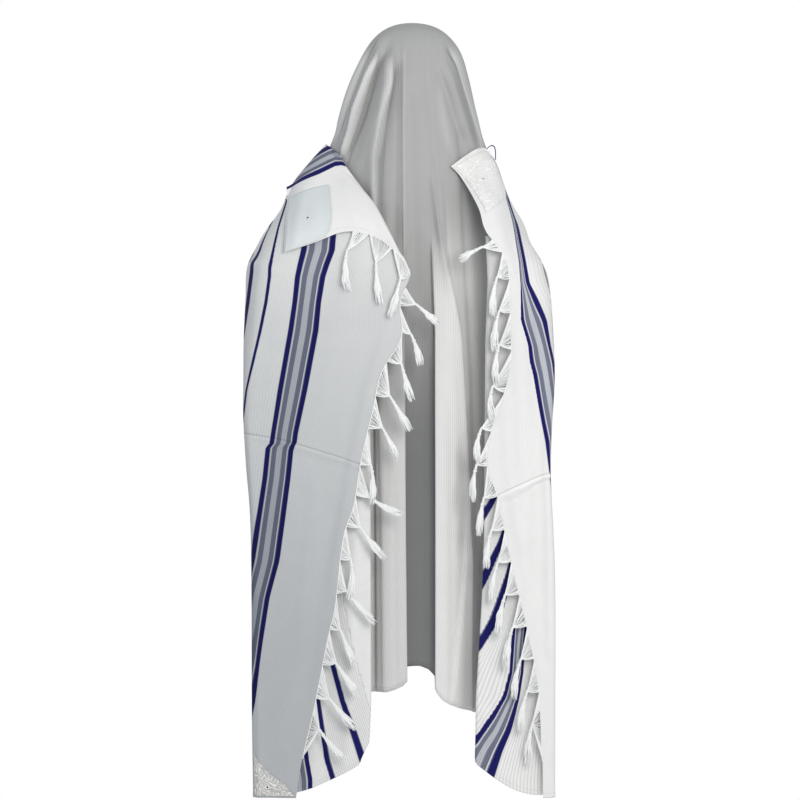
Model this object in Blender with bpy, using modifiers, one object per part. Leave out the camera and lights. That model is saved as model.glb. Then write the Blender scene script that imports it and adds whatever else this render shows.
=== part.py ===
"""Tallit: a woollen prayer shawl, worn over the head with both ends thrown back over the shoulders.

Lengths in the tables are millimetres. The origin is the crown of the head, +Z is up, the wearer
faces -Y, and +X is the wearer's left. Each stretch of the one cloth is a sheet: a grid whose points
are placed by a function of how far across (0 to 1) and how far down (0 to 1) the stretch they lie.
"""
from collections import namedtuple
from functools import partial
from math import exp, pi, sin, sqrt

import bmesh
import bpy
from mathutils import Vector

MM = 0.001

# driving dimensions
CLOTH = 1.8            # thickness of the wool cloth
SEAM = 0.6             # clearance between neighbouring pieces
NECK_GAP = 1.1         # the same where a shoulder stretch meets the hood at an angle
UNDER_GAP = 1.2        # and where an end folds over the layer under it
PATCH = 1.2            # thickness of a corner patch
HEM_Z = -1472.0        # height of the hems of the two thrown-back ends
TURN_RADIUS = 13.0     # how tightly an end folds forward over the layer under it
END_DEPTH = 164.0      # how far behind the crown the thrown-back ends hang
UNDER_DEPTH = 136.0    # the same for the layers under them
REST_LIFT = 10.0       # how far an end stands off the back where it lies on it
TUCK = 13.0            # how far the tucked-in layer stands off the back beside it
FLAP_LIFT = 8.0        # how far the turned-over corner stands off the end under it
HEM_RISE = 64.0        # how much higher the under layer's hem is at its inner fold
STRIP_WIDTH = 5.0      # woven heading that the fringe hangs from
HEADING_GAP = 1.0      # between the heading and the cloth's edge
NET_THICKNESS = 2.0
STRAND_WIDTH = 2.8     # one strand of the net between heading and knot
KNOT_WIDTH = 6.6
KNOT_LENGTH = 6.0
TAIL_WIDTH = 3.8       # one lock of a tassel, at its widest
TAIL_SPREAD = 6.0      # between the middles of two locks at their tips
NET_LIFT = 5.0         # how far a knot hangs off the cloth
NET_DROOP = 21.0       # how much further down the edge a knot hangs than its strands' roots
TAIL_LIFTS = (2.0, 10.0)  # how much further off the cloth a tail is at its middle and its tip
STRANDS = 3            # strands of net to a knot, and locks of wool under it

# grids: segments across and down
HOOD_ACROSS, HOOD_DOWN = 28, 30
END_ACROSS, END_DOWN = 10, 34
FLAP_ACROSS, FLAP_DOWN = 11, 10
UNDER_FIRST = 8        # the row of an end at which the layer under it starts
SHOULDER_ROWS = 12     # rows of an end that its shoulder stretch meets
FACE_ROWS = 9          # rows of the hood that a shoulder stretch meets
UNDER_ACROSS = 19      # segments of an under layer's path
LEFT_FRINGE_ROWS = (11, 32)   # rows of an end between which its fringe is tied
RIGHT_FRINGE_ROWS = (8, 32)
FLAP_FRINGE_COLUMN = 5        # column of the flap from which its lower edge is fringed

WOOL = (0.86, 0.86, 0.85)
STRIPED_WOOL = (0.74, 0.76, 0.84)
SATIN = (0.92, 0.92, 0.93)
FRINGE = (0.92, 0.92, 0.88)

# One hoop of the hood and back: its middle, then the left and right end where it meets the shoulder
# or the side of the body. round_* is the width at which it stops rounding the head and slopes.
Hoop = namedtuple("Hoop", "mid_y mid_z left_x left_y left_z right_x right_y right_z round_left round_right")
HOOPS = [
    Hoop(-114, -52, 112, -128, -345, -104, -128, -345, 74, -72),
    Hoop(-70, -14, 126, -104, -300, -114, -104, -300, 78, -78),
    Hoop(-5, 0, 140, -56, -262, -126, -56, -262, 84, -82),
    Hoop(62, -22, 152, -4, -236, -138, -4, -240, 92, -84),
    Hoop(98, -88, 156, 14, -266, -140, 14, -270, 96, -86),
    Hoop(104, -170, 160, 26, -328, -144, 26, -332, 104, -92),
    Hoop(105, -262, 172, 30, -400, -154, 30, -404, 110, -96),
    Hoop(108, -400, 192, 22, -500, -172, 22, -504, 112, -100),
    Hoop(110, -640, 210, 4, -700, -190, 4, -704, 112, -104),
    Hoop(112, -930, 214, -10, -980, -194, -10, -984, 112, -106),
    Hoop(114, -1228, 214, -14, -1310, -196, -14, -1314, 112, -108),
]

# A fold of the back runs straight from one place to another; rise is how far it stands out.
Fold = namedtuple("Fold", "top_x top_z low_x low_z rise width")
BACK_FOLDS = [
    Fold(60, -30, 128, -250, 8, 13),
    Fold(48, -40, 112, -250, -9, 12),
    Fold(40, -110, 62, -360, 7, 12),
    Fold(30, -130, 34, -420, -8, 12),
    Fold(12, -90, 15, -560, 6, 9),
    Fold(-68, -66, -124, -240, 8, 11),
    Fold(-52, -100, -104, -250, -6, 14),
    Fold(-56, -300, -98, -800, 10, 15),
    Fold(50, -420, 44, -1500, 15, 21),
    Fold(-16, -480, -18, -1500, -28, 26),
    Fold(-78, -560, -84, -1500, 13, 26),
]

# A section of a thrown-back end: its fringed edge, then the outer side where it folds forward.
Section = namedtuple("Section", "edge_x edge_z side_x side_z side_y")
END_LEFT = [
    Section(136, -254, 157, -232, -2),
    Section(127, -272, 186, -268, 16),
    Section(96, -315, 223, -314, 26),
    Section(65, -357, 248, -360, 38),
    Section(19, -448, 296, -424, 58),
    Section(4, -481, 315, -466, 78),
    Section(23, -532, 317, -528, 102),
    Section(21, -597, 319, -604, 128),
    Section(59, -665, 319, -680, 142),
    Section(74, -732, 319, -748, 148),
    Section(97, -830, 314, -840, 150),
    Section(110, -912, 308, -912, 150),
    Section(131, -980, 305, -985, 150),
    Section(146, -1106, 304, -1106, 150),
    Section(160, -1168, 304, -1180, 150),
    Section(186, -1300, 304, -1300, 150),
    Section(208, -1397, 303, -1397, 150),
    Section(220, HEM_Z, 302, HEM_Z, 150),
]
END_RIGHT = [
    Section(-74, -274, -143, -236, -2),
    Section(-96, -298, -162, -262, 16),
    Section(-125, -353, -182, -319, 28),
    Section(-139, -399, -205, -386, 44),
    Section(-178, -456, -249, -456, 66),
    Section(-184, -528, -264, -519, 98),
    Section(-185, -661, -270, -661, 138),
    Section(-150, -775, -264, -775, 148),
    Section(-142, -842, -262, -851, 150),
    Section(-162, -899, -264, -899, 150),
    Section(-188, -1022, -270, -1022, 150),
    Section(-218, -1146, -272, -1146, 150),
    Section(-240, -1260, -272, -1260, 150),
    Section(-247, -1383, -272, -1383, 150),
    Section(-249, HEM_Z, -272, HEM_Z, 150),
]

# The inner fold of the layer under an end, from the shoulder down to the hem.
Crease = namedtuple("Crease", "z x")
CREASE_LEFT = [Crease(-385, 98), Crease(-470, 86), Crease(-604, 80), Crease(-1290, 78),
               Crease(-1400, 82), Crease(HEM_Z, 98)]
CREASE_RIGHT = [Crease(-380, -138), Crease(-492, -143), Crease(-608, -139), Crease(-984, -137),
                Crease(-1098, -133), Crease(-1288, -122), Crease(HEM_Z, -120)]

# A strip of the stretch over a shoulder: where it passes the front of the shoulder, and its low fold.
Strap = namedtuple("Strap", "front_x front_y front_z low_x low_y low_z")
SHOULDER_LEFT = [
    Strap(140, -76, -272, 112, -134, -348),
    Strap(180, -78, -292, 164, -136, -425),
    Strap(222, -70, -330, 216, -122, -456),
    Strap(256, -58, -372, 262, -96, -478),
    Strap(294, -34, -428, 296, -56, -500),
    Strap(311, 4, -472, 311, -26, -516),
    Strap(315, 44, -526, 314, -4, -532),
]
SHOULDER_RIGHT = [
    Strap(-128, -76, -276, -104, -134, -348),
    Strap(-154, -78, -294, -146, -136, -425),
    Strap(-184, -70, -334, -184, -122, -456),
    Strap(-216, -56, -388, -218, -92, -482),
    Strap(-246, -18, -458, -246, -52, -506),
    Strap(-262, 40, -520, -261, -8, -528),
]

# The turned-over corner of the left end: its top along the shoulder, and its fringed edge below.
Spot = namedtuple("Spot", "x z")
FLAP_TOP = [Spot(233, -312), Spot(210, -285), Spot(186, -258), Spot(157, -227)]
FLAP_SIDE = [Spot(233, -312), Spot(238, -352), Spot(241, -439)]
FLAP_FRINGED = [Spot(241, -439), Spot(184, -420), Spot(127, -400), Spot(70, -408), Spot(23, -445),
                Spot(4, -481)]

# One tassel of a fringe: where its knot and its tip hang.
Tassel = namedtuple("Tassel", "knot_x knot_z tip_x tip_z")
FLAP_TASSELS = [
    Tassel(122, -434, 122, -506),
    Tassel(68, -458, 60, -532),
    Tassel(22, -488, 40, -556),
]
LEFT_TASSELS = [
    Tassel(-8, -536, -49, -572),
    Tassel(2, -592, -16, -648),
    Tassel(20, -648, 2, -714),
    Tassel(42, -709, 6, -770),
    Tassel(56, -768, 28, -826),
    Tassel(78, -838, 74, -908),
    Tassel(80, -900, 20, -932),
    Tassel(98, -956, 54, -1012),
    Tassel(116, -1016, 118, -1090),
    Tassel(124, -1077, 72, -1134),
    Tassel(136, -1150, 108, -1216),
    Tassel(144, -1214, 104, -1272),
    Tassel(156, -1282, 110, -1338),
    Tassel(176, -1340, 128, -1396),
]
RIGHT_TASSELS = [
    Tassel(-132, -428, -92, -452),
    Tassel(-160, -484, -152, -556),
    Tassel(-164, -548, -156, -620),
    Tassel(-164, -612, -158, -684),
    Tassel(-152, -690, -152, -752),
    Tassel(-131, -769, -123, -830),
    Tassel(-122, -838, -116, -904),
    Tassel(-136, -900, -126, -968),
    Tassel(-150, -962, -140, -1030),
    Tassel(-162, -1022, -150, -1094),
    Tassel(-176, -1084, -164, -1156),
    Tassel(-190, -1146, -178, -1218),
    Tassel(-206, -1206, -192, -1278),
    Tassel(-218, -1268, -206, -1340),
    Tassel(-228, -1330, -220, -1402),
]


# A corner patch lies on a block of a sheet's grid, on its back face (way 1) or front face (-1).
Patch = namedtuple("Patch", "name sheet left right top low way")
PATCHES = [
    Patch("patch_left_top", "flap_left", 0, 4, 2, 10, 1.0),
    Patch("patch_left_low", "end_left", 2, 10, 32, 34, 1.0),
    Patch("patch_right_top", "end_right", 1, 10, 0, 5, 1.0),
    Patch("patch_right_low", "under_right", 3, 5, 24, 26, -1.0),
]


def ease(t):
    """Smooth step from 0 to 1."""
    t = min(1.0, max(0.0, t))
    return t * t * (3.0 - 2.0 * t)


def mix(a, b, t):
    return a + (b - a) * t


def between(rows, t):
    """The row of a table that a smooth curve through its rows gives at t, from 0 to 1."""
    place = min(1.0, max(0.0, t)) * (len(rows) - 1)
    i = min(int(place), len(rows) - 2)
    f = place - i
    before, start, stop, after = rows[max(i - 1, 0)], rows[i], rows[i + 1], rows[min(i + 2, len(rows) - 1)]
    values = []
    for p, q, r, s in zip(before, start, stop, after):
        bend = (2 * p - 5 * q + 4 * r - s) * f * f + (3 * q - p - 3 * r + s) * f ** 3
        values.append(0.5 * (2 * q + (r - p) * f + bend))
    return type(start)(*values)


def at_height(rows, column, z):
    """The row of a table at a height, read straight between rows; column names the height."""
    heights = [getattr(row, column) for row in rows]
    if z >= heights[0]:
        return rows[0]
    for upper, lower, top, low in zip(rows, rows[1:], heights, heights[1:]):
        if z >= low:
            f = (top - z) / (top - low)
            return type(upper)(*(mix(a, b, f) for a, b in zip(upper, lower)))
    return rows[-1]


def fold_rise(folds, x, z):
    """How far the folds of a table lift the cloth at a place."""
    rise = 0.0
    for fold in folds:
        along = (fold.top_z - z) / (fold.top_z - fold.low_z)
        if -0.15 < along < 1.15:
            middle = mix(fold.top_x, fold.low_x, along)
            fade = ease((along + 0.15) / 0.35) * ease((1.15 - along) / 0.25)
            rise += fold.rise * fade * exp(-((x - middle) / fold.width) ** 2)
    return rise


def hood_place(s, t):
    """The hood and back: s runs from the right side to the left, t from the face edge to the hem."""
    hoop = between(HOOPS, t)
    reach = abs(2.0 * s - 1.0)
    if s >= 0.5:
        side, rounding = Vector((hoop.left_x, hoop.left_y, hoop.left_z)), hoop.round_left
    else:
        side, rounding = Vector((hoop.right_x, hoop.right_y, hoop.right_z)), hoop.round_right
    middle = Vector((0.0, hoop.mid_y, hoop.mid_z))
    first = Vector((rounding * mix(1.3, 0.95, ease((t - 0.25) / 0.25)), hoop.mid_y, hoop.mid_z))
    second = Vector((rounding, mix(side.y, hoop.mid_y, 0.45), mix(side.z, hoop.mid_z, 0.52)))
    back = 1.0 - reach
    place = (middle * back ** 3 + first * 3 * back * back * reach
             + second * 3 * back * reach * reach + side * reach ** 3)
    rise = fold_rise(BACK_FOLDS, place.x, place.z) * ease(back / 0.25) * ease((place.y + 30) / 60)
    place.y += rise
    place.z -= 0.5 * rise * ease((-place.z - 950) / 280)
    return place


def beside_back(way, z, lift, ahead):
    """A place by the side end of the back at a height: lift stands off it, ahead runs on past it."""
    upper, lower = 0.4, 1.0
    while lower - upper > 0.0005:
        t = (upper + lower) / 2.0
        hoop = between(HOOPS, t)
        if (hoop.left_z if way > 0 else hoop.right_z) > z:
            upper = t
        else:
            lower = t
    side = Vector((hoop.left_x, hoop.left_y)) if way > 0 else Vector((hoop.right_x, hoop.right_y))
    rounding = hoop.round_left if way > 0 else hoop.round_right
    along = (side - Vector((rounding, mix(side.y, hoop.mid_y, 0.45)))).normalized()
    return side + along * ahead + Vector((-along.y * way, along.x * way)) * lift


def back_depth(x, z):
    """How far back the hood and back reach at x and z, found by stepping towards that place."""
    s, t = 0.5 + x / 400.0, 0.45
    for _ in range(24):
        place = hood_place(s, t)
        s = min(1.0, max(0.0, s + (x - place.x) / 420.0))
        t = min(1.0, max(0.38, t + (place.z - z) / 1900.0))
    return place.y


def end_depth(table, x, z):
    """How far back a thrown-back end hangs at x and z."""
    section = at_height(table, "side_z", z)
    full = mix(section.side_y + 30, END_DEPTH, ease((-z - 228) / 190))
    resting = 1.0 - ease((-z - 420) / 160)
    if resting > 0 and abs(x) < 150:
        full = max(full, mix(full, back_depth(x, z) + REST_LIFT, resting * ease((150 - abs(x)) / 30)))
    turn = max(14.0, (full - section.side_y) * 0.8)
    near = min(1.0, max(0.0, 1.0 - abs(section.side_x - x) / turn))
    rounded = (full - section.side_y) * (1.0 - sqrt(1.0 - near * near))
    wave = 2.5 * sin(x / 24.0 + z / 300.0) * ease((-z - 420) / 200) * (1.0 - near)
    depth = full - rounded + wave
    if z > -420 and abs(x) < 165:
        depth = max(depth, back_depth(x, z) + 0.7 * REST_LIFT)
    return depth


def end_place(table, s, t):
    """A thrown-back end: s runs from its outer side to its fringed edge, t from the shoulder down."""
    section = between(table, t)
    f = mix(s * s, s, 0.35)
    x = mix(section.side_x, section.edge_x, f)
    z = mix(section.side_z, section.edge_z, f)
    if s == 0.0:
        return Vector((x, section.side_y, z))
    return Vector((x, end_depth(table, x, z), z))


def under_path(table, creases, way, row):
    """The points, from the outer fold to the side of the body, of one row of the layer under an end."""
    side = end_place(table, 0.0, row / END_DOWN)
    share = (row - UNDER_FIRST) / (END_DOWN - UNDER_FIRST)
    inset = 0.0 if row > SHOULDER_ROWS else 5.0 + 24.0 * ease((SHOULDER_ROWS - row) / 5.0)
    x, y, z = side.x - way * inset, side.y - UNDER_GAP - 0.3 * inset, side.z
    near = y - TURN_RADIUS
    crease = at_height(creases, "z", z).x
    rise = HEM_RISE * ease((share - 0.86) / 0.14)
    wave = 3.0 * sin(z / 120.0)
    flat = x - way * TURN_RADIUS

    def under(x, depth, up):
        return Vector((x, min(depth, end_depth(table, x, z) - TURN_RADIUS), z + rise * up))

    fold = under(crease + way * 8, UNDER_DEPTH, 0.96)
    path = [
        Vector((x, y, z)),
        Vector((x - way * 0.12 * TURN_RADIUS, mix(y, near, 0.5), z)),
        Vector((x - way * 0.45 * TURN_RADIUS, mix(y, near, 0.86), z)),
        Vector((flat, near, z)),
        under(mix(flat, crease + way * 8, 0.25), mix(near, UNDER_DEPTH, 0.7), 0.1),
        under(mix(flat, crease + way * 8, 0.50), UNDER_DEPTH + wave, 0.35),
        under(mix(flat, crease + way * 8, 0.75), UNDER_DEPTH - wave, 0.65),
        fold,
        Vector((crease + way * 1.5, fold.y - 2.5, z + rise)),
        Vector((crease, fold.y - 6.0, z + rise)),
        Vector((crease + way * 1.5, fold.y - 9.5, z + rise)),
        Vector((crease + way * 8, fold.y - 12.0, z + rise)),
    ]
    inner_z = z + rise + 60 * ease((share - 0.6) / 0.4)
    start = path[-1].xy
    for f in (0.3, 0.6, 0.85):
        spot = start.lerp(beside_back(way, inner_z, TUCK, 0.0), f)
        path.append(Vector((spot.x, spot.y, mix(z + rise, inner_z, f))))
    for lift, ahead in ((TUCK, 2.0), (0.85 * TUCK, 7.0), (0.5 * TUCK, 9.5), (0.15 * TUCK, 7.0), (0.0, SEAM)):
        spot = beside_back(way, inner_z, lift, ahead + SEAM)
        path.append(Vector((spot.x, spot.y, inner_z)))
    return path


def shoulder_place(table, end_table, way, s, t):
    """The stretch over a shoulder: s runs from the neck outwards, t from the ridge down in front."""
    def strap(s):
        row = between(table, s)
        ridge = end_place(end_table, 0.0, s * SHOULDER_ROWS / END_DOWN) - Vector((0, SEAM, 0))
        low = Vector((row.low_x, row.low_y, row.low_z))
        over = Vector((row.front_x, row.front_y, row.front_z)) * 2.0 - (ridge + low) * 0.5
        return ridge * (1 - t) ** 2 + over * 2.0 * (1 - t) * t + low * t * t

    neck = hood_place(0.5 + 0.5 * way, (1.0 - t) * FACE_ROWS / HOOD_DOWN) + Vector((way * NECK_GAP, 0, -SEAM))
    away = ease(s / 0.3)
    place = strap(s) + (neck - strap(0.0)) * (1.0 - away)
    place.y += 7.0 * sin(9.0 * s + 2.0 * t) * sin(pi * t) * away
    return place + Vector((0, 14, 6)) * ease((t - 0.88) / 0.12) * away * ease((1.0 - s) / 0.3)


def flap_place(s, t):
    """The turned-over corner: s runs from its hemmed side to the fold, t from the shoulder down."""
    top, fringed = between(FLAP_TOP, s), between(FLAP_FRINGED, s)
    hemmed = between(FLAP_SIDE, t)
    fold = end_place(END_LEFT, 1.0, t * FLAP_DOWN / END_DOWN)
    corners = [mix(mix(FLAP_TOP[0][k], FLAP_TOP[-1][k], s), mix(FLAP_SIDE[-1][k], FLAP_FRINGED[-1][k], s), t)
               for k in (0, 1)]
    x = mix(top.x, fringed.x, t) + mix(hemmed.x, fold.x - 0.5, s) - corners[0]
    z = mix(top.z, fringed.z, t) + mix(hemmed.z, fold.z, s) - corners[1]
    lift = mix(CLOTH + SEAM, FLAP_LIFT, ease((1.0 - s) / 0.16)) + 6.0 * (1.0 - ease(t / 0.5))
    section = at_height(END_LEFT, "side_z", z)
    return Vector((x, end_depth(END_LEFT, min(x, section.side_x - 5), z) + lift, z))


def outward_normal(place, s, t, step_s, step_t):
    """The direction square to a sheet at s and t, on the side that faces backwards."""
    across = place(min(1.0, s + step_s), t) - place(max(0.0, s - step_s), t)
    down = place(s, min(1.0, t + step_t)) - place(s, max(0.0, t - step_t))
    normal = across.cross(down).normalized()
    return normal if normal.y > 0 else -normal


def fabric(name, colour, roughness):
    material = bpy.data.materials.new(name)
    material.use_nodes = True
    shader = material.node_tree.nodes["Principled BSDF"]
    shader.inputs["Base Color"].default_value = (*colour, 1.0)
    shader.inputs["Roughness"].default_value = roughness
    material.diffuse_color = (*colour, 1.0)
    return material


def add_sheet(collection, name, mesh, thickness, material):
    """Make an object of an open surface and thicken it evenly to both sides."""
    piece = bpy.data.objects.new(name, mesh)
    collection.objects.link(piece)
    mesh.materials.append(material)
    mesh.shade_smooth()
    wall = piece.modifiers.new("Wall", "SOLIDIFY")
    wall.thickness = thickness * MM
    wall.offset = 0.0
    return piece


def cloth(collection, name, place, across, down, material, thickness=CLOTH):
    """A sheet of across by down segments whose points a function of s and t places."""
    bm = bmesh.new()
    bmesh.ops.create_grid(bm, x_segments=across, y_segments=down, size=1.0)
    for vertex in bm.verts:
        vertex.co = place((vertex.co.x + 1.0) / 2.0, (1.0 - vertex.co.y) / 2.0) * MM
    mesh = bpy.data.meshes.new(name)
    bm.to_mesh(mesh)
    bm.free()
    return add_sheet(collection, name, mesh, thickness, material)


def patch_on(place, block, grid, way=1.0):
    """The place function of a patch that lies on a block of a sheet's grid.

    block is the first and last column and row; way is -1 where the patch lies on the front face.
    """
    s0, s1 = block[0] / grid[0], block[1] / grid[0]
    t0, t1 = block[2] / grid[1], block[3] / grid[1]
    lift = (CLOTH + PATCH) / 2.0 + 1.2 * SEAM

    def patch_place(s, t):
        at_s, at_t = mix(s0, s1, s), mix(t0, t1, t)
        return place(at_s, at_t) + outward_normal(place, at_s, at_t, 1 / grid[0], 1 / grid[1]) * lift * way
    return patch_place


def fringe(collection, name, points, out, tassels, table, lift, material):
    """A heading beside a cloth edge, with a net of strands, a knot and locks for each tassel."""
    bm = bmesh.new()
    lengths = [0.0]
    for a, b in zip(points, points[1:]):
        lengths.append(lengths[-1] + (b - a).length)

    def spot_on(distance):
        i = max(k for k in range(len(lengths) - 1) if lengths[k] <= distance + 1e-6)
        f = min(1.0, (distance - lengths[i]) / (lengths[i + 1] - lengths[i]))
        return points[i].lerp(points[i + 1], f)

    def nearest(tassel):
        knot = Vector((tassel.knot_x, tassel.knot_z))
        spots = [lengths[-1] * i / 400.0 for i in range(401)]
        spots = [spot for spot in spots if spot_on(spot).z > tassel.knot_z]
        return min(spots, key=lambda spot: (spot_on(spot).xz - knot).length)

    def vertex(place):
        return bm.verts.new(place * MM)

    middles = [min(lengths[-1] - 10.0, max(10.0, nearest(tassel) - NET_DROOP)) for tassel in tassels]
    limits = [-middles[0]] + middles + [2 * lengths[-1] - middles[-1]]
    roots = []
    for k, middle in enumerate(middles):
        share = 0.8 * min(middle - limits[k], limits[k + 2] - middle) / STRANDS
        for i in range(STRANDS):
            root = middle + share * (i - (STRANDS - 1) / 2.0)
            roots += [root - STRAND_WIDTH / 2.0, root + STRAND_WIDTH / 2.0]
    bends = [bend for bend in lengths if min(abs(bend - root) for root in roots) > STRAND_WIDTH]
    heading = {}
    for distance in sorted(roots + bends):
        before, after = max(0.0, distance - 1.0), min(lengths[-1], distance + 1.0)
        along = (spot_on(after) - spot_on(before)).normalized()
        side = (out - along * out.dot(along)).normalized()
        start = spot_on(distance) + side * HEADING_GAP
        heading[distance] = (vertex(start), vertex(start + side * STRIP_WIDTH))
    pairs = list(heading.values())
    for one, other in zip(pairs, pairs[1:]):
        bm.faces.new((one[0], other[0], other[1], one[1]))

    for k, tassel in enumerate(tassels):
        tied = [heading[root][1] for root in roots[2 * STRANDS * k:2 * STRANDS * (k + 1)]]
        knot_y = end_depth(table, tassel.knot_x, tassel.knot_z) + lift
        tip_y = end_depth(table, tassel.tip_x, tassel.tip_z) + lift
        knot = Vector((tassel.knot_x, knot_y, tassel.knot_z))
        tip = Vector((tassel.tip_x, tip_y, tassel.tip_z))
        down = (tip - knot).normalized()
        along = (tied[-1].co - tied[0].co).normalized()
        wide = down.cross(Vector((0, 1, 0))).normalized()
        if wide.dot(along - out) < 0:
            wide = -wide
        rows = []
        for shift in (0.0, KNOT_LENGTH):
            rows.append([vertex(knot + down * shift + wide * KNOT_WIDTH * (i / STRANDS - 0.5))
                         for i in range(STRANDS + 1)])
        for i in range(STRANDS):
            bm.faces.new((tied[2 * i], tied[2 * i + 1], rows[0][i + 1], rows[0][i]))
            bm.faces.new((rows[0][i], rows[0][i + 1], rows[1][i + 1], rows[1][i]))
            turn = i - (STRANDS - 1) / 2.0
            last = (rows[1][i], rows[1][i + 1])
            for step, width in enumerate((TAIL_WIDTH, TAIL_WIDTH * 0.7)):
                reach = (0.5, 1.0 - 0.06 * abs(turn))[step]
                middle = knot.lerp(tip, reach) + wide * turn * TAIL_SPREAD * (0.55 + 0.45 * reach)
                middle += down * KNOT_LENGTH * (1.0 - reach) + Vector((0, TAIL_LIFTS[step], 0))
                pair = tuple(vertex(middle + wide * side * width / 2.0) for side in (-1, 1))
                bm.faces.new((last[0], last[1], pair[1], pair[0]))
                last = pair
    mesh = bpy.data.meshes.new(name)
    bm.to_mesh(mesh)
    bm.free()
    return add_sheet(collection, name, mesh, NET_THICKNESS, material)


def grid_place(rows):
    """A place function that reads straight between the points of a grid."""
    def place(s, t):
        column = min(1.0, max(0.0, s)) * (len(rows[0]) - 1)
        row = min(1.0, max(0.0, t)) * (len(rows) - 1)
        i, j = min(int(column + 1e-6), len(rows[0]) - 2), min(int(row + 1e-6), len(rows) - 2)
        upper = rows[j][i].lerp(rows[j][i + 1], column - i)
        return upper.lerp(rows[j + 1][i].lerp(rows[j + 1][i + 1], column - i), row - j)
    return place


def add_tallit():
    collection = bpy.data.collections.new("Tallit")
    bpy.context.scene.collection.children.link(collection)
    wool = fabric("wool", WOOL, 0.85)
    striped = fabric("striped_wool", STRIPED_WOOL, 0.85)
    satin = fabric("satin", SATIN, 0.5)
    thread = fabric("fringe_thread", FRINGE, 0.9)

    cloth(collection, "hood_back", hood_place, HOOD_ACROSS, HOOD_DOWN, wool)
    sides = (
        ("left", 1.0, END_LEFT, CREASE_LEFT, SHOULDER_LEFT, LEFT_TASSELS, LEFT_FRINGE_ROWS),
        ("right", -1.0, END_RIGHT, CREASE_RIGHT, SHOULDER_RIGHT, RIGHT_TASSELS, RIGHT_FRINGE_ROWS),
    )
    sheets = {}
    for side, way, table, creases, straps, tassels, fringe_rows in sides:
        rows = [under_path(table, creases, way, row) for row in range(UNDER_FIRST, END_DOWN + 1)]
        ends = sheets[f"end_{side}"] = partial(end_place, table)
        unders = sheets[f"under_{side}"] = grid_place(rows)
        cloth(collection, f"end_{side}", ends, END_ACROSS, END_DOWN, striped)
        cloth(collection, f"under_{side}", unders, len(rows[0]) - 1, len(rows) - 1, striped)
        over = partial(shoulder_place, straps, table, way)
        cloth(collection, f"shoulder_{side}", over, SHOULDER_ROWS, FACE_ROWS, wool)
        edge = [ends(1.0, row / END_DOWN) for row in range(fringe_rows[0], fringe_rows[1] + 1)]
        fringe(collection, f"fringe_{side}", edge, Vector((-way, 0, 0)), tassels, table, NET_LIFT, thread)
    sheets["flap_left"] = flap_place
    cloth(collection, "flap_left", flap_place, FLAP_ACROSS, FLAP_DOWN, striped)
    edge = [flap_place(column / FLAP_ACROSS, 1.0) for column in range(FLAP_FRINGE_COLUMN, FLAP_ACROSS + 1)]
    fringe(collection, "fringe_left_flap", edge, Vector((0, 0, -1)), FLAP_TASSELS, END_LEFT,
           FLAP_LIFT + NET_LIFT, thread)

    grids = {"flap": (FLAP_ACROSS, FLAP_DOWN), "end": (END_ACROSS, END_DOWN),
             "under": (UNDER_ACROSS, END_DOWN - UNDER_FIRST)}
    for patch in PATCHES:
        block = (patch.left, patch.right, patch.top, patch.low)
        place = patch_on(sheets[patch.sheet], block, grids[patch.sheet.split("_")[0]], patch.way)
        cloth(collection, patch.name, place, patch.right - patch.left, patch.low - patch.top, satin, PATCH)


def main():
    for thing in list(bpy.data.objects):
        bpy.data.objects.remove(thing, do_unlink=True)
    add_tallit()


main()
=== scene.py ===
"""Tallit worn over the head with both ends thrown back over the shoulders, seen from behind.

Sizes in the tables are millimetres; every mesh is placed in metres in the shared frame.
"""
from collections import namedtuple
from math import cos, exp, pi, sin, sqrt
from random import Random

import bmesh
import bpy
from mathutils import Matrix, Vector


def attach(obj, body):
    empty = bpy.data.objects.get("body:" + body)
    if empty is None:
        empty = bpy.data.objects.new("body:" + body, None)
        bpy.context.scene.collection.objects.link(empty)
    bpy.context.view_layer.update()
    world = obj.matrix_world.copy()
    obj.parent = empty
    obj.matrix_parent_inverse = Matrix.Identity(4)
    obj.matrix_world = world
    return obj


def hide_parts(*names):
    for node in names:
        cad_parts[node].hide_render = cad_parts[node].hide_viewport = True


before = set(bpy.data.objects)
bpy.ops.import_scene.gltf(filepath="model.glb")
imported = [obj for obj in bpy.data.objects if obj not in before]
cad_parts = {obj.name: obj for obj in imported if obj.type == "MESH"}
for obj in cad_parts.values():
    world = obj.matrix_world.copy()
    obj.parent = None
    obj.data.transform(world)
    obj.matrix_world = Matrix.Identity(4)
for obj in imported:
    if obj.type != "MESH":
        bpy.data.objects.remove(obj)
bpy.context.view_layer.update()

# ---- Camera, light and floor --------------------------------------------------------------------
# A camera five metres behind the shawl at waist height, a plain white surround, a floor disc, one
# large soft lamp high on the right, a weaker one on the left and one in front for the inside.
MM = 0.001
AIM = Vector((0.0228, 0.12, -0.718))
CAMERA_PLACE = Vector((AIM.x, 5.12, -0.50))
CAMERA_LENS = 118.4
LAMP_AIM = Vector((0.0, 0.0, -0.6))
SEEN_SKY = (1.0, 1.0, 1.0, 1.0)
LIT_SKY, LIT_STRENGTH = (0.93, 0.965, 1.0, 1.0), 0.62
FLOOR_RADIUS, FLOOR_HEIGHT = 0.9, -1.75
FLOOR_LOOKS = {"Base Color": (0.86, 0.86, 0.85, 1.0), "Roughness": 0.8}


def put_in_scene(name, data):
    """An object of some data, linked to the scene."""
    item = bpy.data.objects.new(name, data)
    bpy.context.scene.collection.objects.link(item)
    return item


def turn_to(item, target):
    """Point a camera or a lamp at a place."""
    item.rotation_euler = (target - item.location).to_track_quat("-Z", "Y").to_euler()


def mesh_from(bm, name, smooth=True):
    """The mesh of a finished bmesh."""
    mesh = bpy.data.meshes.new(name)
    bm.to_mesh(mesh)
    bm.free()
    if smooth:
        mesh.shade_smooth()
    return mesh


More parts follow.
